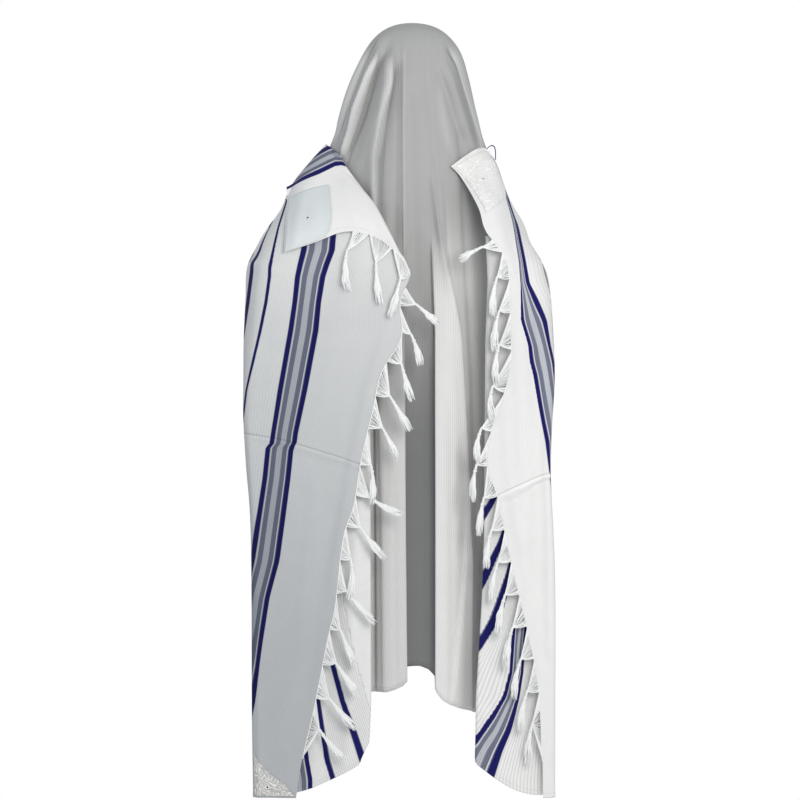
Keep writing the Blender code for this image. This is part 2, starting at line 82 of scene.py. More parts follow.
def feed(tree, socket, value):
    """Give a node's socket a plain value or another node's output."""
    if isinstance(value, bpy.types.NodeSocket):
        tree.links.new(value, socket)
    else:
        socket.default_value = value


def add_node(tree, kind, feeds=(), **settings):
    """A new shader node: settings are its own properties, feeds are pairs of socket and value."""
    node = tree.nodes.new("ShaderNode" + kind)
    for name, value in settings.items():
        setattr(node, name, value)
    for socket, value in dict(feeds).items():
        feed(tree, node.inputs[socket], value)
    return node


def link_math(tree, operation, *values):
    """The output of a new Math node; each value is a number or another node's output."""
    return add_node(tree, "Math", enumerate(values), operation=operation).outputs["Value"]


def new_material(name, looks):
    """A material, its node tree and its surface shader, with the shader's sockets set to looks."""
    material = bpy.data.materials.new(name)
    material.use_nodes = True
    shader = material.node_tree.nodes["Principled BSDF"]
    for socket, value in looks.items():
        shader.inputs[socket].default_value = value
    return material, material.node_tree, shader


camera = put_in_scene("Camera", bpy.data.cameras.new("Camera"))
camera.location = CAMERA_PLACE
turn_to(camera, AIM)
camera.data.lens = CAMERA_LENS
bpy.context.scene.camera = camera

world = bpy.data.worlds.new("Surround")
bpy.context.scene.world = world
world.use_nodes = True
sky = world.node_tree
sky.nodes.clear()
seen = add_node(sky, "Background", {"Color": SEEN_SKY, "Strength": 1.0})
lit = add_node(sky, "Background", {"Color": LIT_SKY, "Strength": LIT_STRENGTH})
choose = add_node(sky, "MixShader", {
    "Fac": add_node(sky, "LightPath").outputs["Is Camera Ray"],
    1: lit.outputs["Background"], 2: seen.outputs["Background"]})
add_node(sky, "OutputWorld", {"Surface": choose.outputs["Shader"]})

Lamp = namedtuple("Lamp", "name place size power colour")
for lamp in (
    Lamp("Key", (-0.8, 2.55, 0.05), 1.2, 39.5, (1.0, 0.975, 0.94)),
    Lamp("Fill", (2.3, 1.5, 0.2), 1.6, 4.0, (0.90, 0.95, 1.0)),
    Lamp("Front", (0.6, -2.6, 0.6), 1.8, 22.0, (1.0, 0.98, 0.96)),
):
    light = bpy.data.lights.new(lamp.name, "AREA")
    light.size, light.energy, light.color = lamp.size, lamp.power, lamp.colour
    holder = put_in_scene(lamp.name, light)
    holder.location = lamp.place
    turn_to(holder, LAMP_AIM)

bm = bmesh.new()
bmesh.ops.create_circle(bm, cap_ends=True, segments=96, radius=FLOOR_RADIUS)
bmesh.ops.translate(bm, verts=bm.verts, vec=(0.0, 0.0, FLOOR_HEIGHT))
floor = put_in_scene("Floor", mesh_from(bm, "Floor", smooth=False))
floor.data.materials.append(new_material("floor_paint", FLOOR_LOOKS)[0])
bpy.context.scene.view_settings.view_transform = "Standard"


# ---- Hood and back ------------------------------------------------------------------------------
# The middle of the shawl: one length of thin ribbed wool that passes over the head and hangs down
# the back to a narrow machine-sewn hem. It hangs by its own weight in long soft folds, greyer where
# a single layer hangs than where it is doubled; painted shade darkens its sunk panel, and painted
# highlights and lines of painted shade run along its folds.
WOOL_THICKNESS = 0.9
SINGLE_LAYER_AND_SHADE = 0.66    # how much of the dark tint the plain back takes, for its single layer and for painted shade
HEM_WIDTH = 9.0
HEM_SWELL, HEM_TURN = 0.5, 1.5   # how far the sewn hem stands up, and over what width
ACROSS_STEPS, DOWN_STEPS = 240, 178
HEAD_BACK, ROUND_BACK = -30, 60  # folds set in from this far behind the crown, over this length
HEM_DROP_Z, HEM_DROP_LENGTH = -900, 330   # from here down the back's length varies across it
SLOPE_DEEP, SLOPE_HIGH = 0.45, 0.52       # how far towards its middle a hoop starts to slope


def rows_of(kind, rows):
    """The rows of a table, with its columns named."""
    return [kind(*row) for row in rows]


# One hoop of the hood and back: its middle, then the left and right end where it meets the shoulder
# or the side of the body. round_* is the width at which it stops rounding the head and slopes.
Hoop = namedtuple("Hoop", "mid_y mid_z left_x left_y left_z right_x right_y right_z "
                          "round_left round_right")
HOOPS = rows_of(Hoop, [
    (-114, -48, 113, -128, -345, -105, -128, -345, 80, -82),
    (-70, -8, 130, -104, -300, -118, -104, -300, 81, -88),
    (-5, 7, 146, -56, -262, -132, -56, -262, 88, -93),
    (62, -14, 160, -4, -236, -146, -4, -240, 100, -98),
    (98, -84, 166, 14, -266, -149, 14, -270, 127, -101),
    (104, -168, 166, 26, -328, -149, 26, -332, 121, -102),
    (105, -262, 173, 30, -400, -156, 30, -404, 113, -102),
    (108, -400, 192, 22, -500, -172, 22, -504, 113, -102),
    (110, -640, 210, 4, -700, -190, 4, -704, 112, -104),
    (112, -930, 214, -10, -980, -194, -10, -984, 112, -106),
    (114, -1228, 214, -14, -1310, -196, -14, -1314, 112, -108),
])

# A broad fold of the back: the x and z of its top and low end, how far it stands out, and half
# its width.
Fold = namedtuple("Fold", "top_x top_z low_x low_z rise width")
FOLD_END = 0.15        # the share of its length by which a fold runs on past each end
BACK_FOLDS = rows_of(Fold, [
    (60, -30, 128, -250, 8, 13), (48, -40, 112, -250, -9, 12), (40, -110, 62, -360, 7, 12),
    (30, -130, 34, -420, -8, 12), (-68, -66, -124, -240, 8, 11), (-52, -100, -104, -250, -6, 14),
    (-56, -300, -98, -800, 7, 17), (50, -420, 44, -1500, 9, 24), (-16, -480, -18, -1500, -12, 30),
    (-78, -560, -84, -1500, 9, 28),
])

# The sunk panel between two pleats of the back: at a height, the x of its left and right edge and
# of the right pleat's outer edge. HEM_DROPS gives, at an x, how far the hem hangs below its even
# line.
PLEATS = [
    (-250, 16, -26, -60), (-430, 15, -38, -67), (-585, 14, -44, -89), (-878, 13, -45, -108),
    (-1003, 12, -45, -111), (-1300, 9, -45, -113),
]
PANEL_DEPTH = 11.0
PLEAT_EDGE = 4.0       # the width over which a pleat turns into the panel
PANEL_Z, PANEL_FADE = -400, 300  # the panel sinks in from this height, over this length
HEM_DROPS = [
    (-214, 0), (-196, -10), (-121, -60), (-90, -66), (-72, -65), (-59, -60), (-50, -50), (-45, -40),
    (-43, -20), (-30, -8), (-16, -2), (8, -3), (9.5, -27), (19, -37), (32, -43), (47, -46),
    (78, -41), (105, -30), (140, -14), (214, -6),
]

# A crease follows a path of (x, z) places, down or across the cloth. rise is how far it stands out;
# plus and minus are its widths towards +X and -X, or towards the top and the hem for one across.
Crease = namedtuple("Crease", "path rise plus minus across", defaults=(False,))
BACK_CREASES = rows_of(Crease, [
    ([(74, -40), (93, -78), (118, -142), (143, -212)], -9.0, 5, 3.0),
    ([(66, -56), (84, -97), (108, -161), (118, -205), (134, -254)], 9.0, 3.0, 8),
    ([(62, -62), (76, -123), (93, -180), (122, -256)], -9.0, 3.0, 4),
    ([(34, -60), (38, -110), (55, -186), (65, -249), (66, -351), (66, -470)], 11.0, 18, 2.8),
    ([(24, -70), (32, -135), (48, -199), (56, -249), (58, -351), (58, -460)], -4.0, 3, 12),
    ([(15, -50), (15, -205), (14, -446), (14, -560)], 3.0, 3, 3.2),
    ([(2, -150), (-2, -320), (-8, -520)], -2.0, 9, 10),
    ([(-66, -66), (-82, -103), (-94, -140), (-108, -182), (-125, -234)], 8.0, 2.6, 12),
    ([(-50, -85), (-68, -135), (-82, -182), (-99, -226)], -4.0, 8, 5),
    ([(-30, -90), (-38, -180), (-50, -300), (-60, -420)], 2.6, 9, 6),
    ([(-40, -300), (-54, -400), (-66, -470), (-89, -585), (-108, -878), (-111, -1003),
      (-113, -1330)], 5.0, 7, 2.0),
    ([(-104, -1000), (-90, -1160), (-76, -1300)], 5.0, 2.5, 24),
    ([(-93, -205), (-104, -420), (-120, -700), (-128, -1000)], -4.5, 8, 8),
    ([(15, -430), (14, -585), (13, -878), (12, -1003), (9, -1330)], 6.0, 26, 2.2),
    ([(-38, -430), (-44, -585), (-45, -878), (-45, -1330)], 8.0, 2.0, 40),
    ([(78, -620), (76, -900), (74, -1330)], -6.0, 7, 5),
    ([(62, -700), (56, -900), (52, -1330)], 2.5, 5, 8),
    ([(34, -900), (33, -1100), (30, -1330)], -1.8, 6, 6),
    ([(-70, -700), (-74, -1000), (-76, -1330)], -2.2, 8, 8),
    ([(-6, -560), (-12, -800), (-16, -1290)], 1.8, 8, 6),
    ([(-30, -640), (-32, -900), (-33, -1290)], -1.6, 5, 6),
    ([(140, -600), (150, -900), (148, -1300)], 5.0, 14, 10),
    ([(-158, -640), (-164, -900), (-160, -1300)], 5.0, 12, 14),
    ([(96, -20), (112, -84), (150, -200)], 3.0, 8, 8),
    ([(-84, -20), (-112, -90), (-138, -200)], 2.5, 8, 6),
    ([(60, -340), (20, -352), (-30, -346), (-70, -330)], 0.9, 6, 9, True),
    ([(40, -610), (0, -622), (-60, -612)], 0.8, 7, 9, True),
])


def ease(t):
    """Smooth step from 0 to 1."""
    t = min(1.0, max(0.0, t))
    return t * t * (3.0 - 2.0 * t)


def mix(a, b, t):
    return a + (b - a) * t


def smooth_at(near, f):
    """Where a smooth curve through four numbers or places is, at f between the middle two."""
    p, q, r, s = near
    bend = (2 * p - 5 * q + 4 * r - s) * f * f + (3 * q - p - 3 * r + s) * f ** 3
    return 0.5 * (2 * q + (r - p) * f + bend)


def neighbours(rows, t):
    """The four rows about t, from 0 to 1 down a table, and how far t is past the second."""
    place = min(1.0, max(0.0, t)) * (len(rows) - 1)
    i = min(int(place), len(rows) - 2)
    return [rows[min(max(k, 0), len(rows) - 1)] for k in range(i - 1, i + 3)], place - i


def between(rows, t):
    """The row of a table that a smooth curve through its rows gives at t, from 0 to 1."""
    near, f = neighbours(rows, t)
    return type(rows[0])(*(smooth_at(values, f) for values in zip(*near)))


def on_path(points, s):
    """A place on the smooth curve through evenly counted points, at s from 0 to 1."""
    return smooth_at(*neighbours(points, s))


def at_height(rows, z, height=0):
    """The row of a table at a height, read straight between rows; height is the heights' column."""
    if z >= rows[0][height]:
        return rows[0]
    for upper, lower in zip(rows, rows[1:]):
        if z >= lower[height]:
            f = (upper[height] - z) / (upper[height] - lower[height])
            return getattr(upper, "_make", list)(mix(a, b, f) for a, b in zip(upper, lower))
    return rows[-1]


def fold_rise(folds, x, z):
    """How far the broad folds of a table lift the cloth at a place."""
    rise = 0.0
    for fold in folds:
        along = (fold.top_z - z) / (fold.top_z - fold.low_z)
        if -FOLD_END < along < 1.0 + FOLD_END:
            middle = mix(fold.top_x, fold.low_x, along)
            fade = ease((along + FOLD_END) / 0.35) * ease((1.0 + FOLD_END - along) / 0.25)
            rise += fold.rise * fade * exp(-((x - middle) / fold.width) ** 2)
    return rise


def read_across(known, x, beyond=0.0):
    """A value read between (x, value) pairs; past the last it grows by at most beyond per mm."""
    for (x0, d0), (x1, d1) in zip(known, known[1:]):
        if (x - x1) * (x1 - x0) <= 0:
            return mix(d0, d1, (x - x0) / (x1 - x0))
    slope = min(beyond, (d1 - d0) / abs(x1 - x0))
    return d1 + slope * abs(x - x1)


def side_of(hoop, left):
    """The left or right end of a hoop, and the width at which it stops rounding the head there."""
    if left:
        return Vector((hoop.left_x, hoop.left_y, hoop.left_z)), hoop.round_left
    return Vector((hoop.right_x, hoop.right_y, hoop.right_z)), hoop.round_right


def hood_place(s, t):
    """The hood and back: s runs from the right side to the left, t from the face to the hem."""
    hoop = between(HOOPS, t)
    reach = abs(2.0 * s - 1.0)
    side, rounding = side_of(hoop, s >= 0.5)
    middle = Vector((0.0, hoop.mid_y, hoop.mid_z))
    first = Vector((rounding * mix(1.3, 0.95, ease((t - 0.25) / 0.25)), hoop.mid_y, hoop.mid_z))
    second = Vector((rounding, mix(side.y, hoop.mid_y, SLOPE_DEEP),
                     mix(side.z, hoop.mid_z, SLOPE_HIGH)))
    back = 1.0 - reach
    place = (middle * back ** 3 + first * 3 * back * back * reach
             + second * 3 * back * reach * reach + side * reach ** 3)
    behind = ease((place.y - HEAD_BACK) / ROUND_BACK)
    place.y += fold_rise(BACK_FOLDS, place.x, place.z) * ease(back / 0.25) * behind
    drop = ease((HEM_DROP_Z - place.z) / HEM_DROP_LENGTH)
    place.z += read_across(HEM_DROPS, place.x) * drop
    return place


def crease_rise(creases, x, z):
    """What the creases of a table add at a place."""
    rise = 0.0
    for crease in creases:
        along, beside = (-x, z) if crease.across else (-z, x)
        path = [(-px, pz) if crease.across else (-pz, px) for px, pz in crease.path]
        start, stop = path[0][0], path[-1][0]
        fade = min(40.0, 0.4 * (stop - start))
        if not start - 0.5 * fade < along < stop + 0.5 * fade:
            continue
        k = max(i for i in range(len(path) - 1) if i == 0 or path[i][0] <= along)
        (a0, b0), (a1, b1) = path[k], path[k + 1]
        offset = beside - mix(b0, b1, (along - a0) / (a1 - a0))
        ends = ease((along - start) / fade + 0.5) * ease((stop - along) / fade + 0.5)
        width = crease.plus if offset > 0 else crease.minus
        rise += crease.rise * ends * exp(-(offset / width) ** 2)
    return rise


def running(places):
    """The length of the path through places, up to each of them."""
    total = [0.0]
    for a, b in zip(places, places[1:]):
        total.append(total[-1] + (b - a).length)
    return total


# Painted highlights and lines of painted shade along the hood's folds, lighter or darker than its
# folds alone make it: rise is the change of its tint.
HOOD_PAINTED_SHADING = rows_of(Crease, [
    ([(88, -50), (108, -104), (132, -168), (152, -226)], -0.22, 9, 5),
    ([(73, -44), (93, -80), (118, -144), (142, -210)], 0.24, 2.5, 2.0),
    ([(67, -66), (86, -105), (110, -170), (131, -250)], -0.34, 2.5, 5),
    ([(60, -74), (76, -125), (93, -182), (120, -252)], 0.18, 2.5, 5),
    ([(37, -80), (40, -120), (57, -190), (67, -249), (67, -380)], -0.30, 9, 2.2),
    ([(30, -84), (44, -170), (60, -260), (62, -440)], 0.22, 2.5, 12),
    ([(16, -60), (16, -205), (15, -420)], -0.16, 2.5, 2),
    ([(-68, -50), (-88, -122), (-107, -182), (-124, -236)], 0.22, 5, 1.5),
    ([(-74, -56), (-94, -126), (-113, -186), (-129, -238)], -0.45, 2.0, 12),
    ([(-86, -84), (-104, -140), (-120, -204), (-131, -250)], 0.30, 1.8, 1.8),
    ([(-54, -120), (-60, -180), (-72, -240)], -0.08, 8, 6),
    ([(96, -60), (134, -250)], -0.10, 40, 34),
])


def add_wall(piece, thickness):
    """Give a sheet its thickness, half to each side."""
    wall = piece.modifiers.new("Wall", "SOLIDIFY")
    wall.thickness = thickness * MM
    wall.offset = 0.0


laid = {}              # the rows of places of every cloth that has been laid, by its name


def lay_cloth(name, place, across, down, facing, from_edge=None, hem_low=True, relief=None,
              shade=None, thickness=WOOL_THICKNESS):
    """Lay a grid of cloth at place(s, t), push its creases out and give it a thickness.

    The UV map holds two lengths in metres: across the ribs, and from the hem, which is the last
    row of the grid or, without hem_low, its first. facing is 1 where s and t already turn the
    grid's face outwards. from_edge(place, s, t) gives the length across the ribs; without it that
    length is counted from the middle. relief(place, s, t) is how far the cloth stands out, and
    shade(place) how much dark tint it takes, which stands for a single layer on the back and for
    painted shade.
    """
    rows = [[place(i / across, j / down) for i in range(across + 1)] for j in range(down + 1)]
    if from_edge is None:
        lengths = [running(row) for row in rows]
        ribs = [[length - row[across // 2] for length in row] for row in lengths]
    else:
        ribs = [[from_edge(spot, i / across, j / down) for i, spot in enumerate(row)]
                for j, row in enumerate(rows)]
    if hem_low:
        columns = [running([row[i] for row in reversed(rows)]) for i in range(across + 1)]
        hems = [[columns[i][down - j] for i in range(across + 1)] for j in range(down + 1)]
    else:
        hems = [running(row) for row in rows]

    def normal(i, j):
        side = rows[j][min(i + 1, across)] - rows[j][max(i - 1, 0)]
        fall = rows[min(j + 1, down)][i] - rows[max(j - 1, 0)][i]
        return side.cross(fall).normalized() * facing

    bm = bmesh.new()
    bmesh.ops.create_grid(bm, x_segments=across, y_segments=down, size=1.0)
    lay = bm.loops.layers.uv.new("UVMap")
    single_and_shade = bm.verts.layers.float.new("single_and_shade")
    spots, laid[name] = {}, [[None] * (across + 1) for _ in range(down + 1)]
    for vertex in bm.verts:
        i = round((vertex.co.x + 1.0) / 2.0 * across)
        j = round((1.0 - vertex.co.y) / 2.0 * down)
        spots[vertex] = (i, j)
        spot = rows[j][i]
        lift = relief(spot, i / across, j / down) if relief else 0.0
        lift += HEM_SWELL * ease((HEM_WIDTH - hems[j][i]) / HEM_TURN)
        laid[name][j][i] = spot + normal(i, j) * lift
        vertex.co = laid[name][j][i] * MM
        # the share of the dark tint: a single layer's grey on the back, and painted shade
        vertex[single_and_shade] = shade(spot) if shade else 0.0
    for face in bm.faces:
        for loop in face.loops:
            i, j = spots[loop.vert]
            loop[lay].uv = (ribs[j][i] * MM, hems[j][i] * MM)
    if facing < 0:
        bmesh.ops.reverse_faces(bm, faces=bm.faces)
    piece = put_in_scene(name, mesh_from(bm, name))
    add_wall(piece, thickness)
    return piece


def weave_group():
    """Ribs along the cloth, crossed threads and uneven yarn, as a height, and as a shade of yarn
    tone and painted shade in the rib grooves.
    """
    group = bpy.data.node_groups.new("Ribbed weave", "ShaderNodeTree")
    faces = group.interface
    faces.new_socket("Lay", in_out="INPUT", socket_type="NodeSocketVector")
    for name in ("Rib spacing", "Groove shade", "Thread"):
        faces.new_socket(name, in_out="INPUT", socket_type="NodeSocketFloat")
    for name in ("Shade", "Height"):
        faces.new_socket(name, in_out="OUTPUT", socket_type="NodeSocketFloat")
    given, made = group.nodes.new("NodeGroupInput").outputs, group.nodes.new("NodeGroupOutput")
    split = add_node(group, "SeparateXYZ", {"Vector": given["Lay"]}).outputs

    def wave(length, spacing):
        """A sine that repeats at every spacing along a length."""
        turns = link_math(group, "DIVIDE", length, spacing)
        return link_math(group, "SINE", link_math(group, "MULTIPLY", turns, 2 * pi))

    rib = link_math(group, "MULTIPLY_ADD", wave(split["X"], given["Rib spacing"]), 0.5, 0.5)
    groove = link_math(group, "POWER", rib, 4.0)
    crossed = link_math(group, "MULTIPLY", wave(split["X"], given["Thread"]),
                        wave(split["Y"], given["Thread"]))
    stretch = add_node(group, "Mapping", {"Vector": given["Lay"], "Scale": YARN_STRETCH})
    yarn = add_node(group, "TexNoise", {"Vector": stretch.outputs["Vector"], "Detail": 3.0})
    cloud = add_node(group, "TexNoise", {"Vector": given["Lay"], "Scale": 22.0})
    uneven = link_math(group, "SUBTRACT", yarn.outputs["Fac"], 0.5)
    drift = link_math(group, "SUBTRACT", cloud.outputs["Fac"], 0.5)
    # painted shade in the rib grooves
    ribbed = link_math(group, "MULTIPLY", groove, given["Groove shade"])
    dark = link_math(group, "MULTIPLY_ADD", uneven, -0.10, ribbed)
    darker = link_math(group, "MULTIPLY_ADD", drift, -0.07, dark)
    feed(group, made.inputs["Shade"], link_math(group, "SUBTRACT", 1.0, darker))
    raised = link_math(group, "MULTIPLY_ADD", crossed, 0.16, uneven)
    feed(group, made.inputs["Height"], link_math(group, "MULTIPLY_ADD", groove, -1.0, raised))
    return group


YARN_STRETCH = (420.0, 34.0, 1.0)
WEAVE = weave_group()
THREAD = 0.0013        # metres from one thread of the wool to the next
WOOL_LOOKS = {"Roughness": 0.86, "Specular IOR Level": 0.15, "Sheen Weight": 0.03}
# the grey of a single layer hanging alone on the back, which is also the tint of its painted shade
SINGLE_AND_SHADE_TINT = (0.240, 0.243, 0.248)
# a cooler tint for painted shade on the ends, the layers under them, the shoulders and the turned
# corner
PAINTED_SHADE_TINT = (0.225, 0.265, 0.305)
STITCH_LENGTH, STITCH_GAP, STITCH_WIDTH, STITCH_SHADE = 0.0016, 0.0005, 0.0006, -0.16

# The fold that a packet leaves straight across the cloth is drawn as a thin line of painted shade
# with
# a broader painted highlight below it: how far each lies below the fold, half its width, and its
# change of shade.
PACKET_PAINTED_LINES = ((0.0042, 0.0029, 0.07), (0.0, 0.0013, -0.20))

# The woven stripes, by their distance in millimetres from the fringed edge; each colour runs on to
# the next row.
WHITE = (0.83, 0.826, 0.815)
BLUE = (0.009, 0.009, 0.112)
GREY = (0.170, 0.181, 0.246)
SILVER = (0.50, 0.516, 0.555)
STRIPES = [
    (0, WHITE), (150, BLUE), (161, WHITE), (163, GREY), (173, SILVER), (185, GREY), (195, WHITE),
    (197, BLUE), (208, WHITE), (250, BLUE), (261, WHITE), (315, BLUE), (330, WHITE), (379, BLUE),
    (394, WHITE),
]
STRIPE_REACH = 420.0   # the distance from the fringed edge at which all the stripes are past
STRIPE_BLUR = 0.4
RIB_SPACING = 0.0042


def finish_surface(tree, shader, colour, shade, height, strength, distance):
    """Scale a colour by a shade for the surface, and bump it by a height."""
    scaled = add_node(tree, "VectorMath", {"Vector": colour, "Scale": shade}, operation="SCALE")
    feed(tree, shader.inputs["Base Color"], scaled.outputs["Vector"])
    bump = add_node(tree, "Bump", {"Strength": strength, "Distance": distance, "Height": height})
    feed(tree, shader.inputs["Normal"], bump.outputs["Normal"])


def stripe_colour(tree, distance):
    """The colour of the woven stripes by the distance from the fringed edge, in metres."""
    share = link_math(tree, "DIVIDE", distance, STRIPE_REACH * MM)
    ramp = add_node(tree, "ValToRGB", {"Fac": share})
    bands = ramp.color_ramp.elements
    bands[0].color = (*WHITE, 1.0)
    bands[1].position = 1.0
    bands[1].color = (*WHITE, 1.0)
    for (start, colour), (_, before) in zip(STRIPES[1:], STRIPES):
        for position, shade in ((start - STRIPE_BLUR, before), (start + STRIPE_BLUR, colour)):
            bands.new(position / STRIPE_REACH).color = (*shade, 1.0)
    return ramp.outputs["Color"]


def wool_material(name, striped, single_and_shade=SINGLE_AND_SHADE_TINT, groove_shade=0.1, packet_fold=None):
    """Ribbed wool: its stripes or plain white, darkened by a tint where one layer hangs alone and
    where shade is painted.
    """
    material, tree, shader = new_material(name, WOOL_LOOKS)
    lay = add_node(tree, "UVMap", uv_map="UVMap").outputs["UV"]
    weave = add_node(tree, "Group", {
        "Rib spacing": RIB_SPACING, "Groove shade": groove_shade, "Thread": THREAD, "Lay": lay},
        node_tree=WEAVE)
    split = add_node(tree, "SeparateXYZ", {"Vector": lay}).outputs
    # this attribute carries both the single layer's grey and painted shade
    tinted_share = add_node(tree, "Attribute", attribute_name="single_and_shade")
    tint = add_node(tree, "Mix", {
        "A": stripe_colour(tree, split["X"]) if striped else (*WHITE, 1.0), "B": (*single_and_shade, 1.0),
        "Factor": tinted_share.outputs["Fac"]}, data_type="RGBA", blend_type="MULTIPLY")
    stitch = link_math(tree, "PINGPONG", split["X"], STITCH_LENGTH)
    in_row = link_math(tree, "COMPARE", split["Y"], HEM_WIDTH * MM, STITCH_WIDTH)
    sewn = link_math(tree, "MULTIPLY", in_row, link_math(tree, "GREATER_THAN", stitch, STITCH_GAP))
    shade = link_math(tree, "MULTIPLY_ADD", sewn, STITCH_SHADE, weave.outputs["Shade"])
    if packet_fold:
        above_hem, slant = packet_fold
        along = link_math(tree, "MULTIPLY_ADD", split["X"], -slant, split["Y"])
        # the packet fold's line of painted shade and the painted highlight below it
        for below, width, change in PACKET_PAINTED_LINES:
            line = link_math(tree, "COMPARE", along, above_hem - below, width)
            shade = link_math(tree, "MULTIPLY_ADD", line, change, shade)
    height = link_math(tree, "MULTIPLY_ADD", sewn, -1.5, weave.outputs["Height"])
    finish_surface(tree, shader, tint.outputs["Result"], shade, height, 0.35, 0.0006)
    return material


def closer(s, t):
    """Draw the rows and columns of the grid together where the back shows its folds."""
    out = 2.0 * s - 1.0
    return 0.5 + 0.5 * out * (0.62 + 0.38 * out * out), t * mix(0.78, 1.0, t)


def in_panel(x, z):
    """How far a spot of the back is inside the sunk panel, from 0 to 1."""
    _, left, right, _ = at_height(PLEATS, z)
    return ease((left - x) / PLEAT_EDGE + 0.5) * ease((x - right) / PLEAT_EDGE + 0.5)


def back_relief(spot, s, t):
    """The creases of the back, which fade out towards its sides, and its sunk panel."""
    inner = ease((1.0 - abs(2.0 * s - 1.0)) / 0.12) * ease((spot.y - HEAD_BACK) / ROUND_BACK)
    panel = in_panel(spot.x, spot.z) * ease((PANEL_Z - spot.z) / PANEL_FADE) * PANEL_DEPTH
    return crease_rise(BACK_CREASES, spot.x, spot.z) * inner - panel


def back_tint_and_shade(spot):
    """How far the back takes the dark tint, for its single layer and for painted shade: least in
    the pleats, most in the sunk panel.
    """
    x, z = spot.x, spot.z
    _, left, _, outer = at_height(PLEATS, z)
    pleat_left = ease((x - left) / PLEAT_EDGE + 0.5)
    strip = ease((outer - x) / PLEAT_EDGE + 0.5)
    panel = in_panel(x, z)
    pleat_right = max(0.0, 1.0 - pleat_left - panel - strip)
    shade = SINGLE_LAYER_AND_SHADE
    # each part of the back, how much its tint changes by, and from what height and over what
    # length;
    # the strip outside the right pleat takes less, a painted light against the shade beside the
    # right layer
    for part, change, start, length in (
            (pleat_left, -0.35, 560, 280), (panel, 0.34, 420, 420),
            (pleat_right, -0.55, 380, 160), (strip, -0.45, 300, 200)):
        shade += part * change * ease((-z - start) / length)
    return min(1.0, max(0.0, shade + crease_rise(HOOD_PAINTED_SHADING, x, z)))


plain_wool = wool_material("ribbed_wool", False)
hood = lay_cloth(
    "hood_cloth", lambda s, t: hood_place(*closer(s, t)), ACROSS_STEPS, DOWN_STEPS, 1.0,
    relief=back_relief, shade=back_tint_and_shade)
hood.data.materials.append(plain_wool)
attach(hood, "root")
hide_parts("hood_back")

# ---- Thrown-back ends ---------------------------------------------------------------------------
# The two short ends of the shawl, each carried over its shoulder and hanging down behind with its
# fringed edge towards the middle. Same ribbed wool, with the blue, grey and silver stripes woven in
# along the fringe, and a sharp crease across where the folded shawl lay in its packet, drawn with a
# line of painted shade and a painted highlight. The left end is painted darker down its lower half.
END_DEPTH = 164.0      # how far behind the crown the ends hang
REST_LIFT = 10.0       # how far an end stands off the back where it lies on it
REST_Z, REST_FADE = -420, 160    # below this height an end leaves the back, over this length
REST_X, REST_EDGE = 150, 30      # it lies on the back within this width, which fades at its edge
RIDGE_Z, RIDGE_DROP = -228, 190  # the top of an end, and how far below it hangs at full depth
HEM_Z = -1472.0        # height of the hems of the ends
END_DOWN = 34          # steps of the section table that the layers below count in
TOP_RISE = 8.0         # how far the right end's top edge bows up
PLAIN_TURN = 214.0     # a distance past the stripes, for the plain outer side over the right arm
END_ACROSS_STEPS, END_DOWN_STEPS = 96, 190

# A section of a thrown-back end: its fringed edge, then the outer side where it folds forward.
Section = namedtuple("Section", "edge_x edge_z side_x side_z side_y")
SIDE_Z = 3             # the column of a section that holds its height
END_LEFT = rows_of(Section, [
    (136, -252, 166, -227, -2), (127, -272, 198, -263, 16), (96, -315, 233, -309, 26),
    (65, -357, 254, -358, 38), (19, -448, 296, -424, 58), (4, -481, 315, -466, 78),
    (23, -532, 317, -528, 102), (21, -597, 319, -604, 128), (59, -665, 319, -680, 142),
    (74, -732, 319, -748, 148), (97, -830, 314, -840, 150), (110, -912, 308, -912, 150),
    (131, -980, 305, -985, 150), (146, -1106, 304, -1106, 150), (160, -1168, 304, -1180, 150),
    (186, -1300, 304, -1300, 150), (208, -1397, 303, -1397, 150), (220, HEM_Z, 302, HEM_Z, 150),
])
END_RIGHT = rows_of(Section, [
    (-74, -274, -143, -236, -2), (-96, -298, -162, -262, 16), (-125, -353, -182, -319, 28),
    (-139, -399, -205, -386, 44), (-178, -456, -249, -456, 66), (-184, -528, -264, -519, 98),
    (-185, -661, -270, -661, 138), (-150, -775, -264, -775, 148), (-142, -842, -262, -851, 150),
    (-162, -899, -264, -899, 150), (-188, -1022, -270, -1022, 150), (-218, -1146, -272, -1146, 150),
    (-240, -1260, -272, -1260, 150), (-247, -1383, -272, -1383, 150),
    (-249, HEM_Z, -272, HEM_Z, 150),
])

# Where the stripes lie across an end. *_BANDS are distances from the fringe, and each row of
# *_LINES is a height and the x that each of those distances has there.
LEFT_BANDS = (150, 208, 250, 329)
LEFT_LINES = [
    (-230, 112, 172, 222, 262), (-300, 127, 188, 232, 262), (-340, 137, 197, 238, 263),
    (-390, 141, 204, 251, 274), (-435, 145, 210, 259, 291), (-460, 155, 216, 263, 305),
    (-484, 163, 221, 265, 308), (-532, 171, 226, 272, 314), (-585, 176, 234, 283, 322),
    (-697, 197, 254, 310, 338), (-780, 215, 267, 321, 350), (-797, 217, 269, 324, 353),
    (-807, 223, 277, 328, 357), (-864, 229, 283, 336, 366), (-948, 240, 296, 350, 380),
    (-1020, 250, 306, 361, 391), (-1090, 269, 321, 373, 403), (-1178, 283, 334, 388, 418),
    (-1265, 295, 346, 402, 432), (-1440, 321, 370, 428, 458),
]
RIGHT_BANDS = (150, 161, 197, 208)
